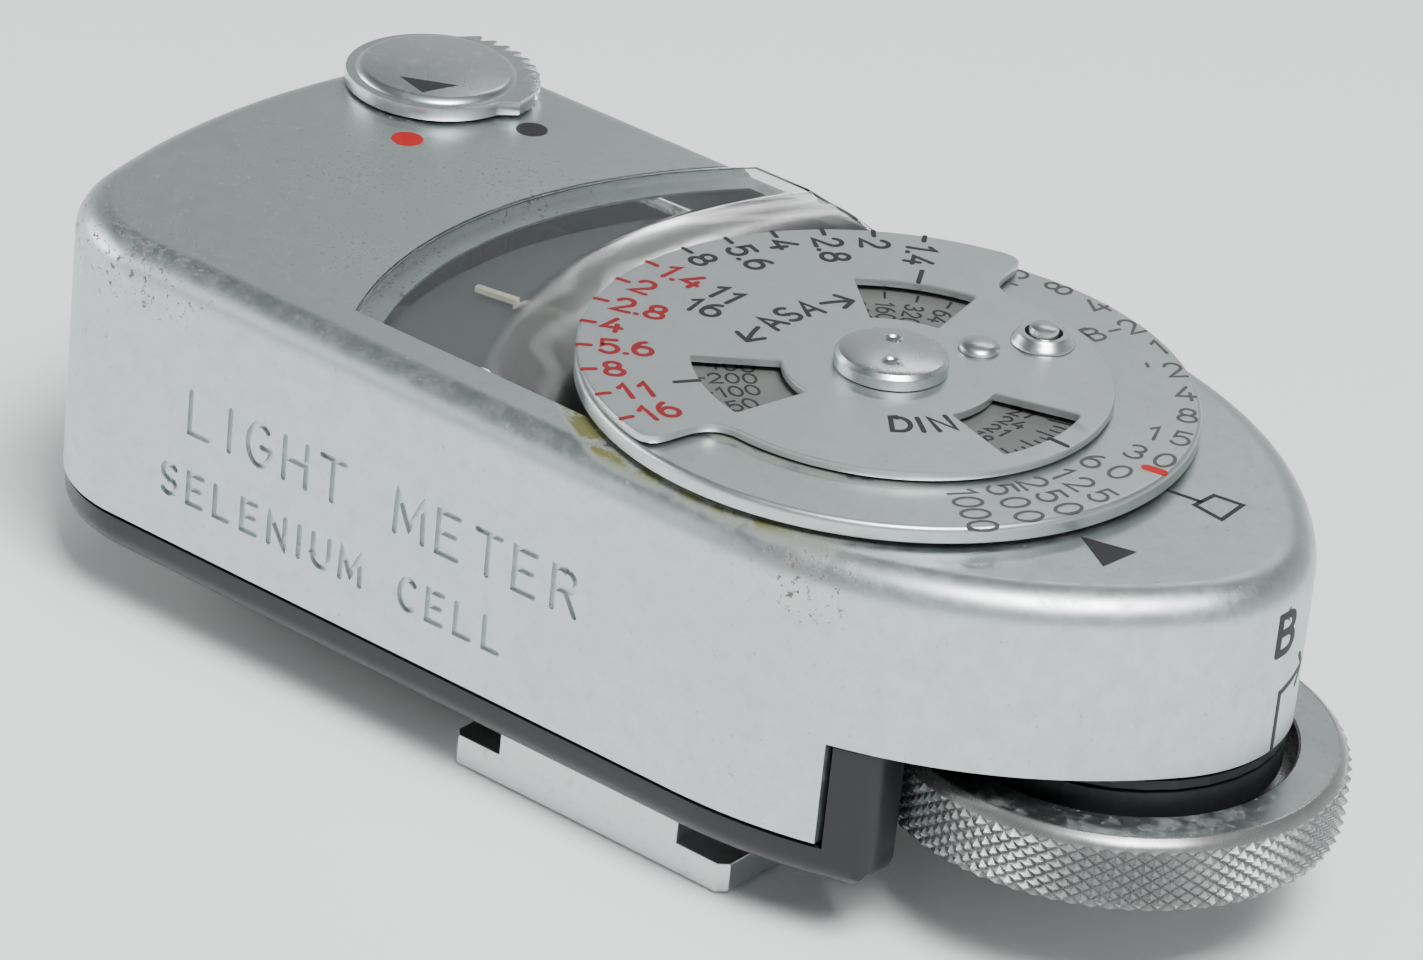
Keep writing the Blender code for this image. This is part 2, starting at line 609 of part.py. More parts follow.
# ---------------------------------------------------------------- gears and wheel
def build_gear_train():
    """Mechanism plate, idler on its stud, wheel gear on the wheel shaft."""
    idler_x = GEAR_MODULE * (DIAL_TEETH + IDLER_TEETH) / 2.0
    left = arc(0.0, 0.0, 6.6, 90.0, 270.0, 13)
    right = arc(WHEEL_X, 0.0, 6.6, -90.0, 90.0, 13)
    holes = [circle(0.0, 0.0, 2.3, 20), circle(WHEEL_X, 0.0, 2.3, 20)]
    plate("gear_plate", [left + right] + holes, 16.5, 17.3, BRASS)
    pin("idler_stud", 0.6, 17.5, 19.7, STEEL, idler_x)
    idler = plate("idler_gear", gear_outline(IDLER_TEETH, 0.9), GEAR_LOW_Z, GEAR_TOP_Z, BRASS, idler_x)
    idler.rotation_euler = (0.0, 0.0, radians(180.0 / IDLER_TEETH))
    plate("wheel_gear", gear_outline(WHEEL_TEETH, 1.5), GEAR_LOW_Z, GEAR_TOP_Z, BRASS, WHEEL_X)
    profile = [(0.0, 19.7), (1.2, 19.7), (1.2, 18.0), (SHAFT_R, 18.0), (SHAFT_R, 6.9), (0.0, 6.9)]
    turned("wheel_shaft", profile, STEEL, WHEEL_X)
    head = [(0.0, 6.6), (3.2, 6.6), (3.2, 5.95), (0.0, 5.95)]
    screw = turned("wheel_screw", head, STEEL, WHEEL_X, 0.0, 24)
    cut(screw, box("wheel_slot", WHEEL_X - 5.0, WHEEL_X + 5.0, -0.3, 0.3, 5.0, 6.25, STEEL))
    ring("wheel_bearing", 2.3, 8.8, 11.0, NOSE_Z - CLEAR, BLACK, WHEEL_X)
    collar = [(8.2, 11.0 - 0.2), (8.8, 10.8), (8.8, 9.2), (8.2, 9.2)]
    turned("wheel_collar", collar, BLACK, WHEEL_X, 0.0, 40)
    coil("wheel_spring", 3.3, 0.5, 8.2, 10.5, 3.0, STEEL, WHEEL_X)


def build_coupling_wheel():
    """Cup-shaped knurled wheel; CAD keeps the knurl's outer size."""
    shoulder = WHEEL_R - 0.3
    profile = [(2.3, 7.75), (WHEEL_RING_R, 7.75), (WHEEL_RING_R, WHEEL_TOP_Z), (WHEEL_R - 0.55, WHEEL_TOP_Z)]
    profile += [(shoulder, KNURL_TOP_Z), (WHEEL_R, KNURL_TOP_Z - 0.2), (WHEEL_R, WHEEL_LOW_Z + 0.2)]
    profile += [(WHEEL_R - 0.2, WHEEL_LOW_Z), (4.2, WHEEL_LOW_Z), (4.2, 6.95), (2.3, 6.95)]
    turned("coupling_wheel", profile, POLISHED, WHEEL_X, 0.0, 72)
    pin("coupling_pin", 0.8, 3.8, WHEEL_LOW_Z - 0.2, STEEL, WHEEL_X, 8.6)


# ---------------------------------------------------------------- range knob
def build_range_knob():
    """Grooved round knob with a thumb lug and saw teeth beside it, its stem and the wiper inside."""
    lug = arc(0.0, 0.0, KNOB_LUG_R - 0.1, KNOB_LUG_ANGLE, KNOB_TEETH_ANGLE - 2.0, 4)
    for tooth in range(KNOB_TEETH):
        angle = KNOB_TEETH_ANGLE + KNOB_TOOTH_PITCH * tooth
        lug.append(polar(KNOB_R + 0.15, angle))
        lug.append(polar(KNOB_LUG_R, angle + 0.3 * KNOB_TOOTH_PITCH))
    teeth_end = KNOB_TEETH_ANGLE + KNOB_TOOTH_PITCH * KNOB_TEETH
    body = arc(0.0, 0.0, KNOB_R, teeth_end, 360.0 + KNOB_LUG_ANGLE - 6.0, 33)
    knob = plate("range_knob", [body + lug], TOP_Z + 0.2, KNOB_TOP_Z, POLISHED, KNOB_X, KNOB_Y)
    groove = ring("knob_groove", KNOB_R - 1.1, KNOB_R - 0.6, KNOB_TOP_Z - 0.3, KNOB_TOP_Z + 1.0, POLISHED)
    groove.location = knob.location
    cut(knob, groove)
    pin("knob_stem", 1.5, 16.8, TOP_Z - 0.1, STEEL, KNOB_X, KNOB_Y)
    wiper = plate("switch_wiper", [[(-1.2, -1.2), (4.0, -0.6), (4.0, 0.6), (-1.2, 1.2)]], 16.0, 16.4, BRASS)
    wiper.location = knob.location
    wiper.rotation_euler = (0.0, 0.0, radians(-60.0))


def build_electrics():
    """Switch board and two calibration resistors."""
    box("contact_board", -43.0, -35.5, 4.0, 10.5, 14.6, 15.6, BOARD)
    for index, y in enumerate((5.2, 8.4)):
        resistor = pin(f"range_resistor_{index + 1}", 0.9, -2.6, 2.6, BOARD, -39.5, y)
        resistor.rotation_euler = (0.0, pi / 2.0, 0.0)
        resistor.location.z = 13.2 * MM
    profile = [(0.0, 8.8), (0.7, 8.8), (0.7, 5.2), (1.5, 5.2), (1.5, 3.8), (0.0, 3.8)]
    screw = turned("zero_screw", profile, BRASS, ZERO_X, ZERO_Y, 20)
    slot_y = ZERO_Y - 0.2
    cut(screw, box("zero_slot", ZERO_X - 3.0, ZERO_X + 3.0, slot_y, slot_y + 0.4, 3.0, 4.3, BRASS))


# ---------------------------------------------------------------- movement
def build_movement():
    """Ring magnet, fixed core, moving coil on its staff, bridges, hairspring and needle."""
    x = MOVEMENT_X
    y = MOVEMENT_Y
    ring("magnet_ring", 6.2, 9.4, MAGNET_Z, MAGNET_TOP_Z, MAGNET, x, y)
    ring("iron_core", 1.3, 4.0, 8.2, 11.4, STEEL, x, y, 24)
    coil_loops = [rectangle(-5.4, 5.4, 7.25, 12.6), rectangle(-4.6, 4.6, 7.8, 11.9)]
    frame = plate("moving_coil", coil_loops, -1.0, 1.0, COPPER, x, y)
    frame.rotation_euler = (pi / 2.0, 0.0, 0.0)
    pin("pivot_staff", 0.35, 12.8, 20.2, STEEL, x, y)
    pin("lower_pivot", 0.35, 6.1, 7.0, STEEL, x, y)
    lower = rectangle(-10.5, 10.5, -1.6, 1.6)
    plate("lower_bridge", [lower, circle(0.0, 0.0, 0.65, 12)], 5.95, 6.7, BRASS, x, y)
    holes = [circle(0.0, 0.0, 0.75, 12), circle(-7.8, 0.0, 0.8, 12), circle(7.8, 0.0, 0.8, 12)]
    plate("upper_bridge", [rectangle(-9.4, 9.4, -1.6, 1.6)] + holes, 14.6, 15.4, BRASS, x, y)
    for index, offset in enumerate((-7.8, 7.8)):
        profile = [(0.0, 16.2), (1.1, 16.2), (1.1, 15.7), (0.5, 15.7), (0.5, 12.7), (0.0, 12.7)]
        turned(f"bridge_screw_{index + 1}", profile, STEEL, x + offset, y, 14)
    build_hairspring()
    build_needle()


def build_hairspring():
    """Flat spiral above the coil."""
    turns = 2.5
    per_turn = 14
    count = int(turns * per_turn) + 1
    middle = []
    for index in range(count):
        angle = 2.0 * pi * index / per_turn
        radius = 1.0 + 0.75 * index / per_turn
        middle.append((radius, angle))
    half = 0.09
    outer = [((r + half) * cos(a), (r + half) * sin(a)) for r, a in middle]
    inner = [((r - half) * cos(a), (r - half) * sin(a)) for r, a in reversed(middle)]
    plate("hairspring", [outer + inner], 13.4, 13.8, BRASS, MOVEMENT_X, MOVEMENT_Y)


def build_needle():
    """Flat needle with a round hub and a short balance tail."""
    hub = arc(0.0, 0.0, 1.2, 12.0, 168.0, 9)
    far_hub = arc(0.0, 0.0, 1.2, 192.0, 348.0, 9)
    tail = [(3.0, -0.3), (3.0, 0.3)]
    tip = [(-NEEDLE_LENGTH, NEEDLE_WIDTH / 2.0), (-NEEDLE_LENGTH, -NEEDLE_WIDTH / 2.0)]
    loops = [hub + tip + far_hub + tail, circle(0.0, 0.0, 0.65, 12)]
    low = NEEDLE_Z
    needle = plate("needle", loops, low, low + 0.3, CREAM, MOVEMENT_X, MOVEMENT_Y)
    needle.rotation_euler = (0.0, 0.0, radians(NEEDLE_ANGLE - 180.0))


build_shell()
build_base()
build_case_screws()
build_foot()
build_foot_screws()
build_window()
build_cell()
build_bush()
build_dial_shaft()
build_shutter_disc()
build_aperture_disc()
build_centre_screw()
build_gear_train()
build_coupling_wheel()
build_range_knob()
build_electrics()
build_movement()
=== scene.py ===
"""Looks of the clip-on selenium light meter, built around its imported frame.

Shapes are worked out in millimetres from the dial axis, with heights above the
foot's underside, and turn into metres in the frame's own place in place().
"""

from math import acos, atan2, cos, degrees, pi, radians, sin, sqrt

import bmesh
import bpy
from mathutils import Matrix, Vector


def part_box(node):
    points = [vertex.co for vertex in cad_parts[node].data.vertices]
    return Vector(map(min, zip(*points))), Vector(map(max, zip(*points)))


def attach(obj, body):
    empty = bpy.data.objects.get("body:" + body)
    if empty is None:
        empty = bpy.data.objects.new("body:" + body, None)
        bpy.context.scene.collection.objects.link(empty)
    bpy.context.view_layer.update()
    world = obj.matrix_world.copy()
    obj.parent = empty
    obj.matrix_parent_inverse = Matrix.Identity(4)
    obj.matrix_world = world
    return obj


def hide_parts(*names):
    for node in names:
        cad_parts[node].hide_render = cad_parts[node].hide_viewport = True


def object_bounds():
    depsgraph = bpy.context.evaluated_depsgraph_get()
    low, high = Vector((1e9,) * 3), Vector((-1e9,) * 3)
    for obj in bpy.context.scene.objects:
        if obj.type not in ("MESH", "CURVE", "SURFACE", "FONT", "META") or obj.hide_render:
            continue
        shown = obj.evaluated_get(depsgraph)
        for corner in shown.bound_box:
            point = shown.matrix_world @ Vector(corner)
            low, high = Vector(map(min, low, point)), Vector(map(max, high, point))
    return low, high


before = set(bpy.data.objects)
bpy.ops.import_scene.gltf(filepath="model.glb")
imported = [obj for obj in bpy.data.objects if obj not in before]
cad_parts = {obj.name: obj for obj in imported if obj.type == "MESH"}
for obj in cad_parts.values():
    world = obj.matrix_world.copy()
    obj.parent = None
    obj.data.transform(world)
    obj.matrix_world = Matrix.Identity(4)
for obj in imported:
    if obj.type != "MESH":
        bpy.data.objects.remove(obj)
CAD_LOW, CAD_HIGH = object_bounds()

MM = 0.001
X, Y, Z = range(3)

# Beyond the case on every side, in millimetres.
FAR = 60.0


# Places read from the frame, in millimetres.
def middle_of(node):
    """The middle of a node's box."""
    low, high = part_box(node)
    return (low + high) / 2.0 / MM


DIAL = middle_of("shutter_disc")


def span(node, axis):
    """Where a node starts and ends along an axis; x and y count from the dial axis."""
    low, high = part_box(node)
    start = (DIAL.x, DIAL.y, 0.0)[axis]
    return low[axis] / MM - start, high[axis] / MM - start


def radius_of(node):
    low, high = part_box(node)
    return (high.x - low.x) / 2.0 / MM


WHEEL_X = middle_of("wheel_shaft").x - DIAL.x
KNOB_X = middle_of("knob_stem").x - DIAL.x
KNOB_Y = middle_of("knob_stem").y - DIAL.y
SHELL_Z, TOP_Z = span("top_shell", Z)
BASE_Z = span("base_plate", Z)[0]
DISC_R = radius_of("shutter_disc")
WHEEL_R = radius_of("coupling_wheel")
WHEEL_LOW_Z, WHEEL_TOP_Z = span("coupling_wheel", Z)
BUTTON = middle_of("lock_button") - DIAL
RIVET = middle_of("disc_rivet") - DIAL
FOOT_X = middle_of("accessory_foot").x - DIAL.x

# Plan outline of the case, and its heights.
HALF_WIDTH = 17.2
LEFT_END = 47.3
END_BULGE = 3.4
CORNER_R = 8.2
SIDE_ARC_X = 1.65
SIDE_ARC_R = 26.5
TIP_R = 9.0
TOP_ROUND = 1.9
WALL = 0.9
ROOF_Z = TOP_Z - 1.2
NOSE_Z = 11.8
STEP_X = 9.8
BASE_STEP_X = 12.4
BASE_INSET = 0.15
BASE_FLOOR_Z = 5.7
STEP_ROUND = 1.3

# Needle window.
WINDOW_R = 28.3
LEDGE = 1.4
WINDOW_INNER_R = 14.8
WINDOW_NEAR_Y = -13.5
WINDOW_FAR_X = -8.0
DISH_X = 8.2
DISH_Y = 3.8
DISH_R = 30.0

# Dials.
UPPER_R = 11.7
UPPER_HALF_ANGLE = 101.0
CUTOUT_IN_R = 5.7
CUTOUT_OUT_R = 10.4
CUTOUT_HALF_ANGLE = 18.5
DISC_TOP_Z = 23.25
UPPER_TOP_Z = 23.9
SEAT_Z = 23.93
STOP_ANGLE = 9.95
WORD_ANGLE = 175.0
DISC_HOLE_R = 2.3
TIME_HEIGHT = 1.5
RANGE_DOT_R = 0.9

# Colours of the dirt.
PIT_BROWN = (0.10, 0.085, 0.065)
GRIME_OLIVE = (0.11, 0.11, 0.035)

PARTS = bpy.data.collections.new("looks")
bpy.context.scene.collection.children.link(PARTS)


# ---------------------------------------------------------------- materials
class Recipe:
    """A material's node tree, with short calls for the nodes it uses."""

    def __init__(self, name):
        self.material = bpy.data.materials.new(name)
        self.material.use_nodes = True
        self.tree = self.material.node_tree
        self.shader = self.tree.nodes["Principled BSDF"]
        self.place = self.node("ShaderNodeTexCoord").outputs["Object"]

    def node(self, kind, inputs=None, **settings):
        made = self.tree.nodes.new(kind)
        for key, value in settings.items():
            setattr(made, key, value)
        for key, value in (inputs or {}).items():
            self.put(made.inputs[key], value)
        return made

    def put(self, socket, value):
        if isinstance(value, bpy.types.NodeSocket):
            self.tree.links.new(value, socket)
        else:
            socket.default_value = value

    def math(self, operation, first, second, clamp=False):
        step = self.node("ShaderNodeMath", {0: first, 1: second}, operation=operation, use_clamp=clamp)
        return step.outputs[0]

    def times(self, first, second):
        return self.math("MULTIPLY", first, second)

    def plus(self, first, second, clamp=False):
        return self.math("ADD", first, second, clamp)

    def rest_of(self, share):
        """1 minus a share, never below 0."""
        return self.math("SUBTRACT", 1.0, share, True)

    def noise(self, per_mm, detail=3.0, roughness=0.55):
        inputs = {"Vector": self.place, "Scale": per_mm / MM, "Detail": detail, "Roughness": roughness}
        return self.node("ShaderNodeTexNoise", inputs).outputs["Fac"]

    def above(self, value, low, high):
        """0 below low, 1 above high."""
        inputs = {"Value": value, "From Min": low, "From Max": high}
        return self.node("ShaderNodeMapRange", inputs, clamp=True).outputs["Result"]

    def between(self, share, low, high):
        inputs = {"Value": share, "To Min": low, "To Max": high}
        return self.node("ShaderNodeMapRange", inputs).outputs["Result"]

    def blend(self, share, first, second):
        step = self.node("ShaderNodeMix", {"Factor": share}, data_type="RGBA")
        for key, colour in (("A", first), ("B", second)):
            self.put(step.inputs[key], (*colour, 1.0) if isinstance(colour, tuple) else colour)
        return step.outputs["Result"]

    def vector(self, operation, inputs):
        return self.node("ShaderNodeVectorMath", inputs, operation=operation)

    def radius_mm(self, x, y):
        """Distance in plan from a point given in millimetres from the dial axis."""
        centre = ((DIAL.x + x) * MM, (DIAL.y + y) * MM, 0.0)
        offset = self.vector("SUBTRACT", {0: self.place, 1: centre})
        flat = self.vector("MULTIPLY", {0: offset.outputs[0], 1: (1.0 / MM, 1.0 / MM, 0.0)})
        return self.vector("LENGTH", {0: flat.outputs[0]}).outputs["Value"]

    def height_mm(self):
        split = self.node("ShaderNodeSeparateXYZ", {0: self.place})
        return self.times(split.outputs["Z"], 1.0 / MM)

    def bump(self, height, strength, depth_mm=0.02):
        inputs = {"Strength": strength, "Distance": depth_mm * MM, "Height": height}
        self.put(self.shader.inputs["Normal"], self.node("ShaderNodeBump", inputs).outputs["Normal"])

    def surface(self, colour, roughness, metallic):
        for name, value in (("Base Color", colour), ("Roughness", roughness), ("Metallic", metallic)):
            self.put(self.shader.inputs[name], (*value, 1.0) if isinstance(value, tuple) else value)
        return self.material


def shade(colour, factor):
    return tuple(min(1.0, channel * factor) for channel in colour)


def band(recipe, value, low, high, soft):
    """1 inside low..high, fading to 0 over soft on each side."""
    rising = recipe.above(value, low - soft, low)
    falling = recipe.above(value, high, high + soft)
    return recipe.math("SUBTRACT", rising, falling, True)


def near_point(recipe, x, y, reach):
    """1 at a point given in millimetres from the dial axis, fading to 0 at its reach."""
    return recipe.rest_of(recipe.above(recipe.radius_mm(x, y), 0.0, reach))


def satin_chrome(name, colour, roughness, pitted=(), grime=None, mottle=1.0):
    """Satin chrome: frosted grain, cloudy tone, corrosion pits near some points, grime round the dial."""
    make = Recipe(name)
    cloud = make.between(make.noise(0.10, 5.0, 0.65), 0.0, 1.0)
    grain = make.noise(9.0, 2.0, 0.6)
    tone = make.blend(cloud, shade(colour, 1.0 - 0.10 * mottle), shade(colour, 1.06))
    faded = make.times(make.above(make.noise(0.9, 5.0, 0.7), 0.42, 0.7), 0.34 * mottle)
    tone = make.blend(faded, tone, shade(colour, 0.72))
    marks = make.times(make.above(make.noise(2.6, 4.0, 0.7), 0.655, 0.70), 0.5 * mottle)
    for x, y, reach in pitted:
        upper_part = make.above(make.height_mm(), TOP_Z - 4.5, TOP_Z - 1.0)
        near = make.times(near_point(make, x, y, reach), upper_part)
        fine = make.noise(2.5, 3.0, 0.75)
        dots = make.above(make.plus(fine, make.times(near, 0.10)), 0.64, 0.68)
        marks = make.math("MAXIMUM", marks, make.times(dots, make.above(near, 0.0, 0.3)))
    marks = make.times(marks, 0.92)
    tone = make.blend(marks, tone, PIT_BROWN)
    metallic = make.rest_of(marks)
    if grime:
        radius, width, amount = grime
        ring = band(make, make.radius_mm(0.0, 0.0), radius, radius + width, 0.4)
        ring = make.times(ring, make.above(make.height_mm(), TOP_Z - 0.5, TOP_Z - 0.1))
        dirt = make.times(ring, make.above(make.noise(0.45, 5.0, 0.7), 0.33, 0.5))
        side = make.above(near_point(make, -9.0, -13.0, 22.0), 0.1, 0.4)
        dirt = make.times(dirt, make.times(side, amount))
        tone = make.blend(dirt, tone, GRIME_OLIVE)
        metallic = make.math("SUBTRACT", metallic, dirt, True)
    rough = make.between(grain, roughness - 0.04, roughness + 0.06)
    rough = make.plus(rough, make.times(marks, 0.3), True)
    rough = make.plus(rough, make.times(faded, 0.35), True)
    make.bump(make.math("SUBTRACT", grain, make.times(marks, 2.0)), 0.14)
    return make.surface(tone, rough, metallic)


def polished_chrome(name, colour, roughness, dirt_share=0.25):
    """Bright chrome with faint clouds and patches of brown dirt."""
    make = Recipe(name)
    cloud = make.noise(0.3, 4.0, 0.6)
    dirt = make.times(make.above(make.noise(1.1, 4.0, 0.7), 0.56, 0.72), dirt_share)
    tone = make.blend(cloud, shade(colour, 0.92), colour)
    tone = make.blend(dirt, tone, (0.2, 0.18, 0.12))
    rough = make.between(cloud, roughness - 0.04, roughness + 0.08)
    make.bump(make.noise(5.0, 2.0), 0.04)
    return make.surface(tone, rough, make.rest_of(dirt))


def knurled_chrome():
    """Chrome that is darker and less metallic in its grooves and wherever it lies nearer the axis: distance
    from the wheel's axis picks the grooves.
    """
    make = Recipe("knurled_chrome")
    groove = make.rest_of(make.above(make.radius_mm(WHEEL_X, 0.0), WHEEL_R - 0.3, WHEEL_R - 0.06))
    groove = make.times(groove, make.between(make.noise(0.5, 3.0), 0.35, 1.0))
    tone = make.blend(groove, (0.56, 0.58, 0.58), (0.13, 0.13, 0.12))
    rough = make.between(make.noise(2.0), 0.2, 0.34)
    make.bump(make.noise(7.0, 2.0), 0.08)
    return make.surface(tone, rough, make.rest_of(make.times(groove, 0.35)))


def stained_ring():
    """Flat top of the coupling wheel: dull chrome with brown and yellowish staining."""
    make = Recipe("stained_ring")
    stain = make.above(make.noise(0.55, 5.0, 0.7), 0.5, 0.66)
    spots = make.above(make.noise(2.2, 4.0, 0.75), 0.6, 0.68)
    marks = make.times(make.math("MAXIMUM", make.times(stain, 0.3), spots), 0.6)
    tone = make.blend(make.noise(0.25, 3.0), (0.30, 0.325, 0.33), (0.42, 0.445, 0.45))
    tone = make.blend(marks, tone, (0.20, 0.175, 0.105))
    make.bump(spots, 0.1)
    return make.surface(tone, make.between(stain, 0.34, 0.5), make.rest_of(marks))


def enamel(name, colour, roughness, metallic=0.0):
    """Paint or enamel coat with a slightly uneven tone."""
    make = Recipe(name)
    tone = make.blend(make.noise(0.4, 4.0, 0.6), shade(colour, 0.85), shade(colour, 1.2))
    rough = make.between(make.noise(3.0, 3.0), roughness - 0.08, roughness + 0.1)
    make.bump(make.noise(8.0, 2.0), 0.06)
    make.shader.inputs["Specular IOR Level"].default_value = 0.35
    return make.surface(tone, rough, metallic)


def machined(name, colour, roughness=0.32):
    """Bare turned or cut metal."""
    make = Recipe(name)
    tone = make.blend(make.noise(0.8, 4.0), shade(colour, 0.8), colour)
    rough = make.between(make.noise(4.0, 3.0), roughness - 0.08, roughness + 0.1)
    make.bump(make.noise(6.0, 2.0), 0.08)
    return make.surface(tone, rough, 1.0)


def clear_plastic(name, tint, painted_streaks=False):
    """Clear plastic hazed by age; the window's dish is tinted grey by haze, and its metallic sheen with
    silvery bands along its curve is painted reflection.
    """
    make = Recipe(name)
    haze = make.noise(0.5, 4.0, 0.6)
    tone = make.blend(haze, shade(tint, 0.97), tint)
    rough = make.between(make.above(haze, 0.45, 0.75), 0.015, 0.06)
    metallic = 0.0
    if painted_streaks:
        # The dish's metallic sheen and the silvery sine bands along its curve are painted reflection, not a
        # property of the plastic.
        reach = make.radius_mm(DISH_X, DISH_Y)
        inside = make.rest_of(make.above(reach, DISH_R - 0.9, DISH_R - 0.1))
        sway = make.times(make.noise(0.10, 2.0), 16.0)
        wave = make.math("SINE", make.plus(make.times(reach, 2.6), sway), 0.0)
        # painted reflection streaks: bands of more metal following the dish's curve
        reflection_streak = make.times(make.above(wave, 0.1, 1.0), inside)
        metallic = make.plus(make.times(reflection_streak, 0.42), make.times(inside, 0.2))
        rough = make.plus(rough, make.times(inside, 0.16))
        tone = make.blend(inside, tone, (0.56, 0.565, 0.55))
    make.shader.inputs["IOR"].default_value = 1.49
    make.shader.inputs["Transmission Weight"].default_value = 1.0
    make.bump(make.noise(0.25, 2.0), 0.05, 0.05)
    return make.surface(tone, rough, metallic)


def paint(name, colour, roughness=0.5):
    """Marking paint, rubbed thin in places."""
    make = Recipe(name)
    rub = make.noise(2.5, 4.0, 0.7)
    tone = make.blend(rub, shade(colour, 0.75), shade(colour, 1.25))
    make.shader.inputs["Specular IOR Level"].default_value = 0.2
    return make.surface(tone, make.between(rub, roughness - 0.1, roughness + 0.15), 0.0)


def selenium():
    """Dark cell surface with a faint violet cast."""
    make = Recipe("selenium_surface")
    tone = make.blend(make.noise(0.6, 5.0), (0.035, 0.028, 0.035), (0.08, 0.06, 0.08))
    return make.surface(tone, make.between(make.noise(3.0), 0.2, 0.4), 0.4)


WORN_SPOTS = ((-36.0, -1.0, 9.0), (-29.0, -8.0, 7.0), (-44.0, -14.5, 6.0), (-37.0, -16.8, 6.0))
WORN_SPOTS += ((-30.0, 5.0, 6.0), (-42.0, 9.0, 5.0), (8.0, -16.6, 3.5))
SATIN = satin_chrome("satin_case", (0.55, 0.605, 0.60), 0.34, WORN_SPOTS, (15.9, 1.3, 1.0))
DISC_SATIN = satin_chrome("satin_disc", (0.54, 0.585, 0.58), 0.34, (), (11.75, 0.35, 0.6), 0.6)
UPPER_SATIN = satin_chrome("satin_upper", (0.56, 0.605, 0.60), 0.36, (), None, 0.5)
FILM_GREY = enamel("film_scale_grey", (0.16, 0.17, 0.16), 0.55, 0.5)
POLISHED = polished_chrome("polished_parts", (0.62, 0.65, 0.65), 0.26)
FOOT_CHROME = polished_chrome("foot_chrome", (0.6, 0.63, 0.63), 0.3, 0.35)
KNURLED = knurled_chrome()
STAINED = stained_ring()
BLACK = enamel("black_enamel_coat", (0.013, 0.014, 0.015), 0.34)
SCALE_GREY = enamel("scale_grey_coat", (0.085, 0.092, 0.09), 0.6)
BRASS = machined("brass_machined", (0.66, 0.48, 0.2))
STEEL = machined("steel_machined", (0.46, 0.46, 0.46))
MAGNET = machined("magnet_machined", (0.14, 0.14, 0.15), 0.45)
COPPER = machined("copper_wound", (0.62, 0.28, 0.14))
BOARD = enamel("board_brown", (0.2, 0.11, 0.05), 0.6)
GLASS = clear_plastic("window_plastic", (0.93, 0.96, 0.95), True)
CELL_GLASS = clear_plastic("cell_plastic", (0.86, 0.9, 0.88))
SELENIUM = selenium()
INK = paint("black_ink", (0.022, 0.022, 0.023))
RED_INK = paint("red_ink", (0.20, 0.010, 0.014))
RED_DOT = paint("red_dot_paint", (0.34, 0.004, 0.004), 0.35)
CREAM = paint("needle_cream_paint", (0.76, 0.72, 0.58), 0.55)
FAINT_INK = paint("faint_ink", (0.06, 0.06, 0.058))


# ---------------------------------------------------------------- outline helpers
def arc(centre_x, centre_y, radius, start, end, count):
    step = (end - start) / (count - 1)
    angles = [radians(start + step * index) for index in range(count)]
    return [(centre_x + radius * cos(a), centre_y + radius * sin(a)) for a in angles]


def circle(centre_x, centre_y, radius, count=64):
    return arc(centre_x, centre_y, radius, 0.0, 360.0 - 360.0 / count, count)


def rectangle(low_x, high_x, low_y, high_y):
    return [(low_x, low_y), (high_x, low_y), (high_x, high_y), (low_x, high_y)]


def polar(radius, angle):
    return radius * cos(radians(angle)), radius * sin(radians(angle))


def case_outline(inset=0.0):
    """Plan of the case: curved left end, straight-looking sides, round nose about the wheel's axis."""
    side_y = SIDE_ARC_R - HALF_WIDTH
    meet = degrees(atan2(-side_y, WHEEL_X - SIDE_ARC_X))
    end_r = (HALF_WIDTH ** 2 + END_BULGE ** 2) / (2.0 * END_BULGE)
    end_x = end_r - LEFT_END
    corner_y = HALF_WIDTH - CORNER_R
    corner_x = end_x - sqrt((end_r - CORNER_R) ** 2 - corner_y ** 2)
    turn = degrees(atan2(corner_y, corner_x - end_x))
    near = arc(SIDE_ARC_X, side_y, SIDE_ARC_R - inset, -90.0, meet, 30)
    tip = arc(WHEEL_X, 0.0, TIP_R - inset, meet, -meet, 37)[1:-1]
    corner = arc(corner_x, corner_y, CORNER_R - inset, 90.0, turn, 22)
    end = arc(end_x, 0.0, end_r - inset, turn, 360.0 - turn, 19)[1:-1]
    mirrored = [[(x, -y) for x, y in reversed(side)] for side in (near, corner)]
    return near + tip + mirrored[0] + corner + end + mirrored[1]


def window_outline(gap=0.0, ledge=0.0):
    """Needle window: arc on the left, open to the far side, straight near side."""
    outer = WINDOW_R - gap - ledge
    inner = WINDOW_INNER_R + gap
    far_y = HALF_WIDTH + 1.0 if not ledge else HALF_WIDTH - ledge
    near_y = WINDOW_NEAR_Y + gap
    far_x = WINDOW_FAR_X - gap
    edge_y = min(far_y, HALF_WIDTH)
    start = degrees(pi - atan2(edge_y, sqrt(outer ** 2 - edge_y ** 2)))
    end = 180.0 + degrees(atan2(-near_y, sqrt(outer ** 2 - near_y ** 2)))
    outside = arc(0.0, 0.0, outer, start, end, 60)
    hole_start = 180.0 + degrees(atan2(-near_y, sqrt(inner ** 2 - near_y ** 2)))
    hole_end = 180.0 - degrees(acos(-far_x / inner))
    inside = arc(0.0, 0.0, inner, hole_start, hole_end, 40)
    return outside + inside + [(far_x, far_y), (outside[0][0], far_y)]


def sector(middle, half_angle, inner, outer, count=24):
    low = middle - half_angle
    high = middle + half_angle
    return arc(0.0, 0.0, outer, low, high, count) + arc(0.0, 0.0, inner, high, low, count)


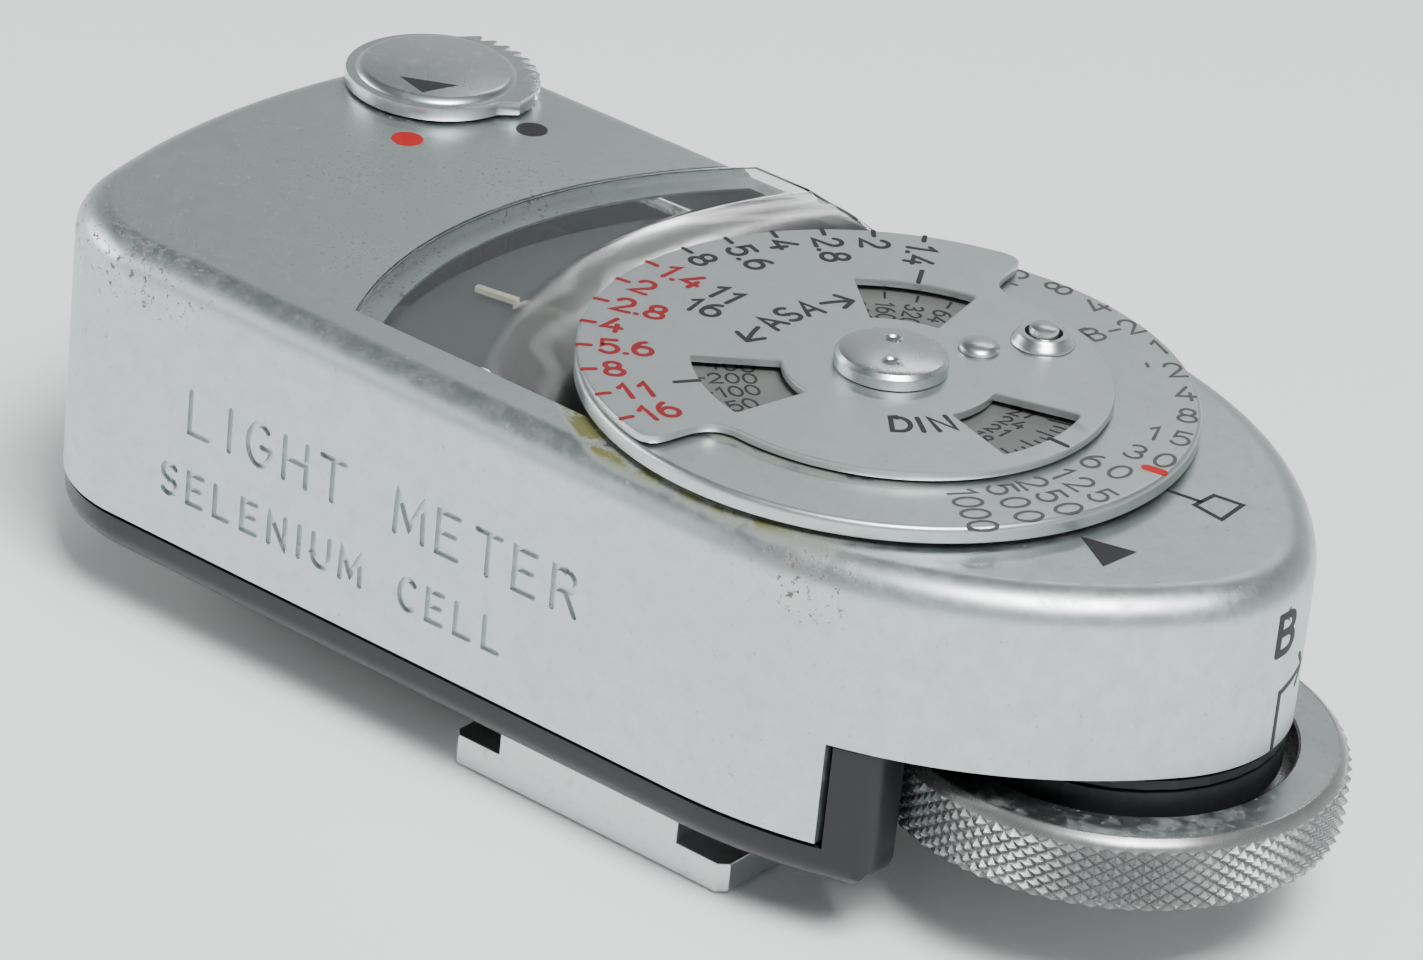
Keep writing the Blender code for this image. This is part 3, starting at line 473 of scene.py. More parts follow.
def rounded(points, radius, steps=6):
    """The outline with each sharp corner rounded; gentle corners stay as they are."""
    made = []
    count = len(points)
    for index in range(count):
        here = Vector(points[index])
        before = Vector(points[index - 1]) - here
        after = Vector(points[(index + 1) % count]) - here
        turn = before.angle(after, pi)
        if turn > radians(150.0):
            made.append(tuple(here))
            continue
        reach = min(radius / max(sin(turn / 2.0), 0.2), before.length * 0.48, after.length * 0.48)
        start = here + before.normalized() * reach
        end = here + after.normalized() * reach
        for step in range(steps + 1):
            t = step / steps
            made.append(tuple(start * (1 - t) ** 2 + here * 2 * t * (1 - t) + end * t * t))
    return made


# ---------------------------------------------------------------- mesh helpers
def place(mesh, x, y):
    """Moves a mesh made in millimetres about x, y from the dial axis to its place, in metres."""
    move = Matrix.Translation(Vector((DIAL.x + x, DIAL.y + y, 0.0)))
    mesh.transform(Matrix.Diagonal((MM, MM, MM, 1.0)) @ move)


def through(mesh, kind, **settings):
    """The mesh after one modifier."""
    piece = bpy.data.objects.new("draft", mesh)
    PARTS.objects.link(piece)
    step = piece.modifiers.new("step", kind)
    for key, value in settings.items():
        setattr(step, key, value)
    return take(piece)


def show(name, mesh, surface, sharp):
    """The piece that is seen: one material, smooth apart from its sharp edges."""
    mesh.materials.clear()
    mesh.materials.append(surface)
    mesh.shade_smooth()
    mesh.set_sharp_from_angle(angle=radians(sharp))
    piece = bpy.data.objects.new(name, through(mesh, "WEIGHTED_NORMAL", weight=100, keep_sharp=True))
    PARTS.objects.link(piece)
    return piece


def take(piece):
    """The piece's evaluated mesh, after which the piece is removed."""
    depsgraph = bpy.context.evaluated_depsgraph_get()
    mesh = bpy.data.meshes.new_from_object(piece.evaluated_get(depsgraph))
    bpy.data.objects.remove(piece, do_unlink=True)
    return mesh


def opened(meshes):
    """The faces of several meshes together, ready for editing."""
    solid = bmesh.new()
    for mesh in meshes:
        solid.from_mesh(mesh)
    return solid


def closed(solid, outward=True):
    """The edited faces as a new mesh, turned outward unless they already are."""
    if outward:
        bmesh.ops.recalc_face_normals(solid, faces=solid.faces)
    mesh = bpy.data.meshes.new("shape")
    solid.to_mesh(mesh)
    solid.free()
    return mesh


def ring(solid, radius, height, count):
    """A level circle of new vertices about the z axis."""
    angles = [2.0 * pi * step / count for step in range(count)]
    return [solid.verts.new((radius * cos(a), radius * sin(a), height)) for a in angles]


def bridge(solid, lower, upper, looped=True):
    """Faces between two rows of vertices, back to the first one if they are loops."""
    count = len(lower)
    faces = []
    for step in range(count if looped else count - 1):
        after = (step + 1) % count
        faces.append(solid.faces.new((lower[step], lower[after], upper[after], upper[step])))
    return faces


def slab(loops, low, high, edge=0.0):
    """A flat outline with holes as a closed mesh in millimetres, its edges rounded if asked."""
    curve = bpy.data.curves.new("outline", "CURVE")
    curve.dimensions = "2D"
    curve.fill_mode = "BOTH"
    curve.extrude = (high - low) / 2.0 - edge
    curve.bevel_depth = edge
    curve.bevel_resolution = 1
    curve.offset = -edge
    for loop in loops:
        spline = curve.splines.new("POLY")
        spline.points.add(len(loop) - 1)
        for point, (x, y) in zip(spline.points, loop):
            point.co = (x, y, 0.0, 1.0)
        spline.use_cyclic_u = True
    guide = bpy.data.objects.new("outline", curve)
    PARTS.objects.link(guide)
    solid = opened([take(guide)])
    bmesh.ops.remove_doubles(solid, verts=solid.verts, dist=1e-4)
    bmesh.ops.dissolve_limit(solid, angle_limit=0.0005, verts=solid.verts, edges=solid.edges)
    bmesh.ops.translate(solid, verts=solid.verts, vec=(0.0, 0.0, (low + high) / 2.0))
    return closed(solid)


def lathe(profile, steps=128):
    """(radius, height) pairs spun about the z axis; a profile off the axis closes on itself."""
    solid = bmesh.new()
    rings = []
    for radius, height in profile:
        rings.append(ring(solid, radius, height, steps if radius > 0.0 else 1))
    pairs = list(zip(rings, rings[1:]))
    if profile[0][0] > 0.0:
        pairs.append((rings[-1], rings[0]))
    for upper, lower in pairs:
        for step in range(steps):
            after = (step + 1) % steps
            corners = [upper[step % len(upper)], upper[after % len(upper)]]
            corners += [lower[after % len(lower)], lower[step % len(lower)]]
            unique = list(dict.fromkeys(corners))
            if len(unique) > 2:
                solid.faces.new(unique)
    return closed(solid)


def drum(radius, low, high, steps=32, x=0.0, y=0.0):
    """A closed cylinder about an upright axis."""
    return moved(lathe([(0.0, high), (radius, high), (radius, low), (0.0, low)], steps), x, y)


def loft(levels):
    """A closed solid through case outlines, each given as (inset, height), upwards."""
    solid = bmesh.new()
    rings = [[solid.verts.new((x, y, height)) for x, y in case_outline(inset)] for inset, height in levels]
    for lower, upper in zip(rings, rings[1:]):
        bridge(solid, lower, upper)
    solid.faces.new(rings[-1])
    solid.faces.new(list(reversed(rings[0])))
    return closed(solid)


def fillet_levels(radius, edge_z, steps, inset=0.0, upper=True):
    """(inset, height) pairs that round the outline's upper or lower edge."""
    levels = []
    for step in range(steps + 1):
        angle = pi / 2.0 * step / steps
        drop = radius * (1.0 - sin(angle))
        levels.append((inset + radius * (1.0 - cos(angle)), edge_z - drop if upper else edge_z + drop))
    return levels if upper else list(reversed(levels))


def block(low_x, high_x, low_y, high_y, low, high):
    return slab([rectangle(low_x, high_x, low_y, high_y)], low, high)


def across(low_x, high_x, low, high):
    """A block that runs right across the case."""
    return block(low_x, high_x, -FAR, FAR, low, high)


def round_sharp(mesh, width, angle=40.0):
    """The mesh with its sharp edges rounded."""
    return through(mesh, "BEVEL", limit_method="ANGLE", angle_limit=radians(angle), width=width, segments=2)


def combine(mesh, tools, operation="DIFFERENCE", crossing=False):
    """Cuts or joins meshes in turn with exact Booleans."""
    for tool in tools:
        cutter = bpy.data.objects.new("cutter", tool)
        PARTS.objects.link(cutter)
        mesh = through(mesh, "BOOLEAN", operation=operation, solver="EXACT", use_self=crossing, object=cutter)
        bpy.data.objects.remove(cutter, do_unlink=True)
    return mesh


def moved(mesh, x, y=0.0):
    mesh.transform(Matrix.Translation((x, y, 0.0)))
    return mesh


# ---------------------------------------------------------------- engraver's letters
def oval(x, y, wide, high, start, end, count=14):
    step = (end - start) / (count - 1)
    angles = [radians(start + step * index) for index in range(count)]
    return [(x + wide * cos(a), y + high * sin(a)) for a in angles]


GLYPHS = {
    "0": [oval(2, 3, 1.9, 3, 90, 450, 24)],
    "1": [[(0.8, 4.7), (2.2, 6), (2.2, 0)]],
    "2": [oval(1.95, 4.2, 1.75, 1.8, 165, -35) + [(0.2, 0), (3.9, 0)]],
    "3": [oval(1.9, 4.5, 1.55, 1.5, 150, -90), oval(1.9, 1.55, 1.85, 1.55, 90, -155)],
    "4": [[(2.5, 6), (0.1, 1.8), (4, 1.8)], [(3.0, 3.3), (3.0, 0)]],
    "5": [[(3.6, 6), (0.8, 6), (0.5, 3.3)] + oval(1.95, 2, 1.9, 2, 130, -150)],
    "6": [oval(3.2, 2.4, 3.0, 3.6, 100, 180), oval(2.05, 1.9, 1.85, 1.9, 180, 540, 24)],
    "7": [[(0.1, 6), (3.9, 6), (1.5, 0)]],
    "8": [oval(2, 4.5, 1.5, 1.45, 90, 450, 20), oval(2, 1.55, 1.9, 1.55, 90, 450, 22)],
    "9": [oval(2, 4.1, 1.85, 1.9, 0, 360, 24), oval(0.85, 3.6, 3.0, 3.6, 0, -80)],
    ".": [[(-0.15, 0.2), (0.15, 0.2)]],
    "-": [[(0.5, 2.8), (3.4, 2.8)]],
    "'": [[(0.6, 6.3), (0.5, 4.8)]],
    "A": [[(0, 0), (2.05, 6), (4.1, 0)], [(0.7, 2.0), (3.4, 2.0)]],
    "B": [[(0, 0), (0, 6), (2, 6)] + oval(2, 4.6, 1.5, 1.4, 90, -90) + [(0, 3.2)],
          [(2, 3.2)] + oval(2, 1.6, 1.8, 1.6, 90, -90) + [(0, 0)]],
    "C": [oval(2.1, 3, 2.05, 3, 50, 310, 20)],
    "D": [[(0, 0), (0, 6), (1.6, 6)] + oval(1.6, 3, 2.3, 3, 90, -90, 18) + [(0, 0)]],
    "E": [[(3.4, 6), (0, 6), (0, 0), (3.4, 0)], [(0, 3.1), (2.9, 3.1)]],
    "G": [oval(2.1, 3, 2.05, 3, 50, 345, 20) + [(4.1, 2.8), (2.5, 2.8)]],
    "H": [[(0, 0), (0, 6)], [(3.9, 0), (3.9, 6)], [(0, 3.1), (3.9, 3.1)]],
    "I": [[(0.6, 0), (0.6, 6)]],
    "L": [[(0, 6), (0, 0), (3.3, 0)]],
    "M": [[(0, 0), (0.2, 6), (2.4, 1.2), (4.6, 6), (4.8, 0)]],
    "N": [[(0, 0), (0, 6), (3.8, 0), (3.8, 6)]],
    "R": [[(0, 0), (0, 6), (2, 6)] + oval(2, 4.5, 1.6, 1.5, 90, -90) + [(0, 3)], [(2, 3), (3.8, 0)]],
    "S": [oval(2, 4.5, 1.65, 1.5, 35, 270) + oval(2, 1.5, 1.8, 1.5, 90, -145)],
    "T": [[(0, 6), (4, 6)], [(2, 6), (2, 0)]],
    "U": [[(0, 6), (0, 1.9)] + oval(1.95, 1.9, 1.95, 1.9, 180, 360) + [(3.9, 6)]],
}
NARROW = {".": 0.0, "1": 3.0, "I": 1.3, "'": 1.3, "M": 4.8, "-": 3.9}
GLYPH_HEIGHT = 6.0
GLYPH_WIDTH = 4.0
STROKE_LIFT = 0.0015
STROKE_LEVELS = 5


def line_strokes(text, height, gap=0.28):
    """Strokes of a line of text that starts at the origin, and its length, in millimetres."""
    size = height / GLYPH_HEIGHT
    strokes = []
    along = 0.0
    for letter in text:
        for stroke in GLYPHS.get(letter, ()):
            strokes.append([((x * size) + along, y * size) for x, y in stroke])
        along += NARROW.get(letter, GLYPH_WIDTH) * size + gap * height
    return strokes, along - gap * height


def shifted(strokes, x, y):
    return [[(px + x, py + y) for px, py in stroke] for stroke in strokes]


def turned_strokes(strokes, x, y, angle):
    """Strokes turned by an angle about the origin and moved to x, y."""
    ahead, aside = polar(1.0, angle)
    turned = [[(px * ahead - py * aside, px * aside + py * ahead) for px, py in stroke] for stroke in strokes]
    return shifted(turned, x, y)


def radial_text(text, height, start_r, angle, inward=True, gap=0.28):
    """Text whose line runs along a radius, starting at start_r, centred across it."""
    strokes = line_strokes(text, height, gap)[0]
    heading = angle + 180.0 if inward else angle
    return turned_strokes(shifted(strokes, 0.0, -height / 2.0), *polar(start_r, angle), heading)


def letter_at(letter, height, radius, angle, heading):
    """One letter, its middle at a radius and an angle, turned to a heading."""
    strokes, width = line_strokes(letter, height)
    return turned_strokes(shifted(strokes, -width / 2.0, -height / 2.0), *polar(radius, angle), heading)


def around_text(text, height, radius, middle, gap=0.35):
    """Text that follows a circle, its feet towards the centre, read clockwise."""
    widths = [NARROW.get(letter, GLYPH_WIDTH) * height / GLYPH_HEIGHT for letter in text]
    along = -(sum(widths) + gap * height * (len(text) - 1)) / 2.0
    strokes = []
    for letter, width in zip(text, widths):
        angle = middle - degrees((along + width / 2.0) / radius)
        strokes += letter_at(letter, height, radius, angle, angle - 90.0)
        along += width + gap * height
    return strokes


def split_long(stroke, longest):
    """The stroke with extra points, so that no run is longer than asked."""
    made = [stroke[0]]
    for (ax, ay), (bx, by) in zip(stroke, stroke[1:]):
        runs = max(1, int(sqrt((bx - ax) ** 2 + (by - ay) ** 2) / longest) + 1)
        made += [(ax + (bx - ax) * run / runs, ay + (by - ay) * run / runs) for run in range(1, runs + 1)]
    return made


def ribbon_outline(stroke, half, ends=6):
    """Left and right edges of a stroke of even width, mitred at its bends, round at its ends."""
    points = [Vector(point) for point in stroke]
    count = len(points)
    looped = (points[0] - points[-1]).length < 1e-4
    left = []
    right = []
    for index, here in enumerate(points):
        before = points[index - 1] if index else (points[-2] if looped else None)
        after = points[index + 1] if index < count - 1 else (points[1] if looped else None)
        ahead = (after - here).normalized() if after is not None else (here - before).normalized()
        behind = (here - before).normalized() if before is not None else ahead
        side = ahead + behind
        side = side.normalized() if side.length > 0.05 else ahead
        side = Vector((-side.y, side.x))
        reach = half / max(side.dot(Vector((-ahead.y, ahead.x))), 0.55)
        left.append(here + side * reach)
        right.append(here - side * reach)
    if looped:
        return left, right, [], []
    first = (points[1] - points[0]).normalized()
    last = (points[-1] - points[-2]).normalized()
    heading = degrees(atan2(last.y, last.x))
    tail = degrees(atan2(first.y, first.x))
    front = arc(points[-1].x, points[-1].y, half, heading - 90.0, heading + 90.0, ends)[1:-1]
    back = arc(points[0].x, points[0].y, half, tail + 90.0, tail + 270.0, ends)[1:-1]
    return left, right, front, back


def number_ring(texts, first, step, height, start_r, gap, tick):
    """Numbers read inwards round a disc at even steps, each with a tick outside it."""
    strokes = []
    for index, text in enumerate(texts):
        angle = first + step * index
        strokes += radial_text(text, height, start_r, angle, True, gap)
        strokes.append([polar(radius, angle) for radius in tick])
    return strokes


def inked(strokes, width, low, high, bend=None):
    """Marks of even width between two heights, each a little off the next so that crossings stay clean."""
    solid = bmesh.new()
    for index, stroke in enumerate(strokes):
        edges = ribbon_outline(split_long(stroke, 0.3) if bend else stroke, width / 2.0)
        rims = []
        for height in (high + STROKE_LIFT * (index % STROKE_LEVELS), low):
            left, right, front, back = [[solid.verts.new((x, y, height)) for x, y in edge] for edge in edges]
            faces = list(zip(right, right[1:], left[1:], left))
            if front:
                faces += [[right[-1]] + front + [left[-1]], [left[0]] + back + [right[0]]]
            for face in faces:
                solid.faces.new(face if height > low else face[::-1])
            rims.append([right + front + left[::-1] + back] if front else [right, left[::-1]])
        for upper, lower in zip(*rims):
            bridge(solid, lower, upper, bool(front))
    if bend:
        for vertex in solid.verts:
            vertex.co = bend(vertex.co)
    return closed(solid, False)


def finish_piece(name, mesh, surface, body, replaced=(), x=0.0, y=0.0, sharp=35.0):
    """Puts a shape in its place as a named piece that rides on a body."""
    place(mesh, x, y)
    piece = show(name, mesh, surface, sharp)
    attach(piece, body)
    if replaced:
        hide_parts(*replaced)
    return piece


# ---------------------------------------------------------------- case
def build_shell():
    """Top shell: rounded upper edge, needle window with its ledge, engraved near face."""
    shell = loft([(0.0, SHELL_Z)] + fillet_levels(TOP_ROUND, TOP_Z, 10))
    over = TOP_Z + 1.0
    tools = [slab([case_outline(WALL)], SHELL_Z - 1.0, ROOF_Z)]
    tools.append(across(STEP_X, FAR, SHELL_Z - 1.0, NOSE_Z))
    tools.append(slab([window_outline()], TOP_Z - 1.05, over))
    tools.append(slab([window_outline(0.0, LEDGE)], TOP_Z - 2.4, over))
    tools.append(drum(3.6, ROOF_Z - 1.0, over, 48))
    tools.append(drum(1.9, ROOF_Z - 1.0, over, 32, KNOB_X, KNOB_Y))
    gap = 0.3
    left, right = span("cell_window", X)
    bottom, top = span("cell_window", Z)
    tools.append(block(left - gap, right + gap, 14.0, 20.0, bottom - gap, top + gap))
    shell = combine(shell, tools)
    shell = combine(shell, [engraving()], crossing=True)
    return finish_piece("case_shell", shell, SATIN, "case", ("top_shell",), sharp=28.0)


def engraving():
    """Two generic engraved lines on the near face, as shallow grooves to cut away."""
    strokes = shifted(line_strokes("LIGHT METER", 2.4, 0.42)[0], -32.6, 13.0)
    strokes += shifted(line_strokes("SELENIUM CELL", 1.75, 0.45)[0], -34.4, 8.85)
    depth = 0.22

    def onto_face(point):
        return Vector((point.x, -HALF_WIDTH + point.z, point.y))

    solid = opened([inked(strokes, 0.34, -0.5, depth, onto_face)])
    bmesh.ops.remove_doubles(solid, verts=solid.verts, dist=1e-7)
    return closed(solid)


def nose_bend(point):
    """Wraps flat marks on the rounded nose: x is length along the arc, y is height."""
    angle = point.x / TIP_R
    reach = TIP_R + point.z
    return Vector((WHEEL_X + reach * cos(angle), reach * sin(angle), point.y))


def build_case_marks():
    """Black index marks on the nose and case top, red and black range dots."""
    proud = 0.015
    sunk = -0.05
    low = TOP_Z + sunk
    high = TOP_Z + proud
    triangle = slab([[(15.8, -4.5), (18.7, -3.65), (18.45, -6.2)]], low, high)
    line = inked([[(15.9, 3.0), (17.7, 3.3)]], 0.26, low, high)
    corners = [(17.7, 2.75), (17.75, 4.4), (19.35, 4.65), (19.55, 2.5), (17.7, 2.75)]
    square = inked([corners], 0.26, low, high)
    letter, width = line_strokes("B", 2.15)
    letter = shifted(letter, radians(4.0) * TIP_R - width / 2.0, TOP_Z - 4.4)
    stem = radians(5.0) * TIP_R
    tip = radians(23.0) * TIP_R
    head = tip - 0.75
    arrow = [[(stem, NOSE_Z + 0.05), (stem, TOP_Z - 6.9), (tip, TOP_Z - 6.4)]]
    arrow += [[(head, TOP_Z - 5.55), (tip, TOP_Z - 6.4), (head, TOP_Z - 7.3)]]
    front = inked(letter, 0.46, sunk, proud, nose_bend)
    bent = inked(arrow, 0.34, sunk, proud, nose_bend)
    black_dot = drum(RANGE_DOT_R, low, high, 40, -33.6, 10.95)
    marks = closed(opened([triangle, line, square, front, bent, black_dot]), False)
    finish_piece("case_marks", marks, INK, "case")
    red = drum(RANGE_DOT_R, low, high, 40, -37.25, 4.6)
    finish_piece("red_dot", red, RED_DOT, "case")


def build_base():
    """Black base casting with rounded lower edges and the wall beside the wheel."""
    pocket_r = 13.2
    nose_floor_z = 12.8
    under = fillet_levels(1.3, BASE_Z, 7, BASE_INSET, False)
    base = loft(under + [(BASE_INSET, BASE_FLOOR_Z)])
    base = combine(base, [across(BASE_STEP_X, FAR, 0.0, 8.0)])
    corner = loft(under + [(BASE_INSET, NOSE_Z - 0.15)])
    corner = combine(corner, [across(-FAR, STEP_X + 0.3, 0.0, 30.0), across(BASE_STEP_X, FAR, 0.0, 30.0)])
    profile = [(pocket_r, nose_floor_z), (14.4, nose_floor_z), (14.4, 5.2), (pocket_r, 5.2)]
    within = case_outline(WALL + 0.3)
    wall = combine(moved(lathe(profile, 160), WHEEL_X), [slab([within], 4.0, 14.0)], "INTERSECT")
    floor = slab([within], NOSE_Z - 0.1, nose_floor_z)
    floor = combine(floor, [across(-FAR, 4.0, 0.0, 30.0), drum(2.6, 0.0, 20.0, 32, WHEEL_X)])
    base = combine(base, [corner, wall, floor], "UNION")
    pocket = drum(pocket_r, 0.0, NOSE_Z, 160, WHEEL_X)
    base = combine(base, [pocket, across(BASE_STEP_X, FAR, 0.0, NOSE_Z - 0.1)])
    base = combine(base, screw_ways() + step_rounding())
    return finish_piece("base_casting", base, BLACK, "case", ("base_plate",), sharp=30.0)


def step_rounding():
    """Tools that round the step wall's upright and lower edges on both sides."""
    tools = []
    side_y = SIDE_ARC_R - HALF_WIDTH
    x = BASE_STEP_X - STEP_ROUND
    y = side_y - sqrt((SIDE_ARC_R - BASE_INSET - STEP_ROUND) ** 2 - (x - SIDE_ARC_X) ** 2)
    start = degrees(atan2(y - side_y, x - SIDE_ARC_X))
    out_x, out_y = polar(STEP_ROUND + 3.0, start)
    outline = arc(x, y, STEP_ROUND, start, 0.0, 9)
    outline += [(x + STEP_ROUND + 2.0, y), (x + STEP_ROUND + 2.0, y - 5.0), (x + out_x, y + out_y)]
    for way in (1.0, -1.0):
        tools.append(slab([[(px, way * py) for px, py in outline]], 2.0, NOSE_Z + 0.4))
    under_round = 1.8
    past = 1.2
    x = BASE_STEP_X - under_round
    z = BASE_Z + under_round
    outline = arc(x, z, under_round, 270.0, 360.0, 9)
    outline += [(BASE_STEP_X + past, z), (BASE_STEP_X + past, BASE_Z - past), (x, BASE_Z - past)]
    under = slab([outline], -30.0, 30.0)
    under.transform(Matrix.Rotation(radians(90.0), 4, "X"))
    return tools + [under]


def numbered(name, count):
    """The names of nodes that differ by a number."""
    return tuple(f"{name}_{index + 1}" for index in range(count))


def turned_at(nodes, profile):
    """The same turned tool on the axis of each node."""
    spots = [middle_of(node) - DIAL for node in nodes]
    return [moved(lathe(profile, 32), spot.x, spot.y) for spot in spots]


def screw_ways():
    """Stepped holes for the case screws and the zero-adjust screw."""
    seat = BASE_Z + 1.1
    stepped = [(0.0, 8.0), (1.1, 8.0), (1.1, seat), (2.2, seat), (2.2, 0.0), (0.0, 0.0)]
    plain = [(0.0, 8.0), (1.9, 8.0), (1.9, 0.0), (0.0, 0.0)]
    return turned_at(numbered("case_screw", 4), stepped) + turned_at(("zero_screw",), plain)


def build_foot():
    """Accessory-shoe foot: bevelled flange, neck, screw sinks."""
    left, right = span("accessory_foot", X)
    near, back = span("accessory_foot", Y)
    cut = 0.5
    outline = [(left + cut, near), (right - cut, near), (right, near + cut), (right, back - cut)]
    outline += [(right - cut, back), (left + cut, back), (left, back - cut), (left, near + cut)]
    flange = slab([outline], 0.0, 1.75, 0.18)
    half_neck = 6.05
    neck = block(FOOT_X - half_neck, FOOT_X + half_neck, near + 0.02, back - 0.02, 0.9, BASE_Z - 0.02)
    foot = combine(flange, [round_sharp(neck, 0.12)], "UNION")
    sink = [(0.0, 8.0), (0.9, 8.0), (0.9, 1.2), (1.9, 0.3), (1.9, -1.0), (0.0, -1.0)]
    foot = combine(foot, turned_at(numbered("foot_screw", 4), sink))
    return finish_piece("shoe_foot", foot, FOOT_CHROME, "case", ("accessory_foot",))


def build_window():
    """Clear window: flat outer zone and a rippled dish beside the dial, of even thickness."""
    top = TOP_Z - 0.05
    thick = 0.45
    sink = 1.1
    slope_width = 5.6
    steps = 24
    lip_r = DISH_R + 0.5
    pane = slab([window_outline(0.06)], TOP_Z - 2.0, top)
    pane = combine(pane, [block(-FAR, FAR, HALF_WIDTH - 0.12, FAR, 0.0, 40.0)])
    slope = []
    for step in range(steps + 1):
        share = step / steps
        ripple = 0.05 * sin(share * 3.0 * pi)
        slope.append((DISH_R - slope_width * share, top - sink * share ** 1.25 - ripple))
    upper = [(0.0, top + 1.0), (lip_r, top + 1.0), (lip_r, top + 0.02)] + slope + [(0.0, top - sink)]
    lower = [(0.0, top - sink - thick)] + [(r, z - thick) for r, z in reversed(slope)]
    lower += [(FAR, top - thick), (FAR, 10.0), (0.0, 10.0)]
    pane = combine(pane, [moved(lathe(profile, 220), DISH_X, DISH_Y) for profile in (upper, lower)])
    pane = round_sharp(pane, 0.08, 60.0)
    finish_piece("needle_window", pane, GLASS, "case", ("meter_window",), sharp=40.0)


# ---------------------------------------------------------------- dials
def soft_edge(radius, top, low, soft):
    """Outer profile points of a disc with a rounded upper edge."""
    points = []
    for step in range(5):
        angle = radians(90.0 - 22.5 * step)
        points.append((radius - soft + soft * cos(angle), top - soft + soft * sin(angle)))
    return points + [(radius, low + 0.08), (radius - 0.08, low)]


def build_shutter_disc():
    """Lower disc with its tray, exposure times and red mark."""
    tray_r = 11.3
    tray_z = 22.6
    low = 22.32
    profile = [(DISC_HOLE_R, tray_z), (tray_r, tray_z), (tray_r, DISC_TOP_Z)]
    profile += soft_edge(DISC_R, DISC_TOP_Z, low, 0.3) + [(DISC_HOLE_R, low)]
    mesh = lathe(profile, 256)
    finish_piece("shutter_dial_disc", mesh, DISC_SATIN, "shutter_dial", ("shutter_disc",))
    groups = []
    for text, angle in (("1000", -35.4), ("500", -25.6), ("250", -17.0), ("125", -7.9)):
        groups += radial_text(text, TIME_HEIGHT, 12.15, angle, False, 0.16 if len(text) == 4 else 0.32)
    groups += radial_text("60", TIME_HEIGHT, 12.2, 2.7, False, 0.42)
    outer_side = (("30", 13.1), ("15", 23.4), ("8", 33.5), ("4", 42.8), ("'2", 52.8), ("1", 62.5))
    outer_side += (("2", 72.0), ("4", 82.0), ("8", 92.0), ("15", 102.0), ("30", 112.0), ("60", 122.0))
    outer_side += (("120", 132.0),)
    for text, angle in outer_side:
        length = line_strokes(text, TIME_HEIGHT, 0.4)[1]
        groups += radial_text(text, TIME_HEIGHT, 16.0 - length, angle, False, 0.4)
    groups += radial_text("B-", 1.35, 12.7, 72.0, False, 0.3)
    ink = inked(groups, 0.2, DISC_TOP_Z - 0.05, DISC_TOP_Z + 0.012)
    finish_piece("shutter_numbers", ink, FAINT_INK, "shutter_dial")
    dash = inked([[polar(15.1, 8.2), polar(15.95, 8.4)]], 0.62, DISC_TOP_Z - 0.05, DISC_TOP_Z + 0.015)
    finish_piece("shutter_red_mark", dash, RED_DOT, "shutter_dial")


def build_film_disc():
    """Film-speed disc: two rings of numbers and one of degrees with its ticks."""
    outer = 11.0
    top = 23.1
    low = 22.8
    mesh = lathe([(DISC_HOLE_R, top), (outer, top), (outer, low), (DISC_HOLE_R, low)], 128)
    finish_piece("film_speed_scale", mesh, FILM_GREY, "shutter_dial", ("film_speed_disc",))
    tick = (10.4, 9.7)
    speeds = ("6400", "3200", "1600", "800", "400", "200", "100", "50", "25", "12", "6", "3")
    strokes = number_ring(speeds, -142.0 - 4 * STOP_ANGLE, STOP_ANGLE, 1.05, 9.5, 0.2, tick)
    second = ("100", "200", "400", "800", "1600", "3200", "64", "32", "12", "25", "50")
    strokes += number_ring(second, 139.0 + 3 * STOP_ANGLE, -STOP_ANGLE, 0.95, 9.2, 0.2, tick)
    degrees_start = -21.0 - 4 * STOP_ANGLE
    for index in range(13):
        strokes += radial_text(str(3 + 3 * index), 0.85, 6.6, degrees_start + STOP_ANGLE * index, False, 0.22)
    for index in range(37):
        angle = degrees_start + STOP_ANGLE / 3.0 * index
        strokes.append([polar(10.3, angle), polar(9.2 if index % 3 else 8.7, angle)])
    ink = inked(strokes, 0.15, top - 0.04, top + 0.012)
    finish_piece("film_speed_marks", ink, INK, "shutter_dial")


def upper_outline():
    """Upper disc: wide on the window side, smaller elsewhere, with rounded shoulders."""
    edge = UPPER_HALF_ANGLE
    steps = 8
    tip_round = 1.35
    root_round = 1.9
    tip_angle = degrees(tip_round / DISC_R)
    root_angle = degrees(root_round / UPPER_R)
    outer = DISC_R - 0.02
    points = arc(0.0, 0.0, outer, edge + tip_angle, 360.0 - edge - tip_angle, 130)
    turns = []
    for radius, angle, corner, end in (
        (outer, edge + tip_angle, (outer, edge), (outer - tip_round, edge)),
        (UPPER_R + root_round, edge, (UPPER_R, edge), (UPPER_R, edge - root_angle)),
    ):
        start = Vector(polar(radius, angle))
        middle = Vector(polar(*corner))
        stop = Vector(polar(*end))
        for step in range(steps + 1):
            t = step / steps
            turns.append(tuple(start * (1 - t) ** 2 + middle * 2 * t * (1 - t) + stop * t * t))
    near = [(x, -y) for x, y in turns]
    small = arc(0.0, 0.0, UPPER_R, root_angle - edge, edge - root_angle, 110)
    return points[1:-1] + near + small[1:-1] + list(reversed(turns))


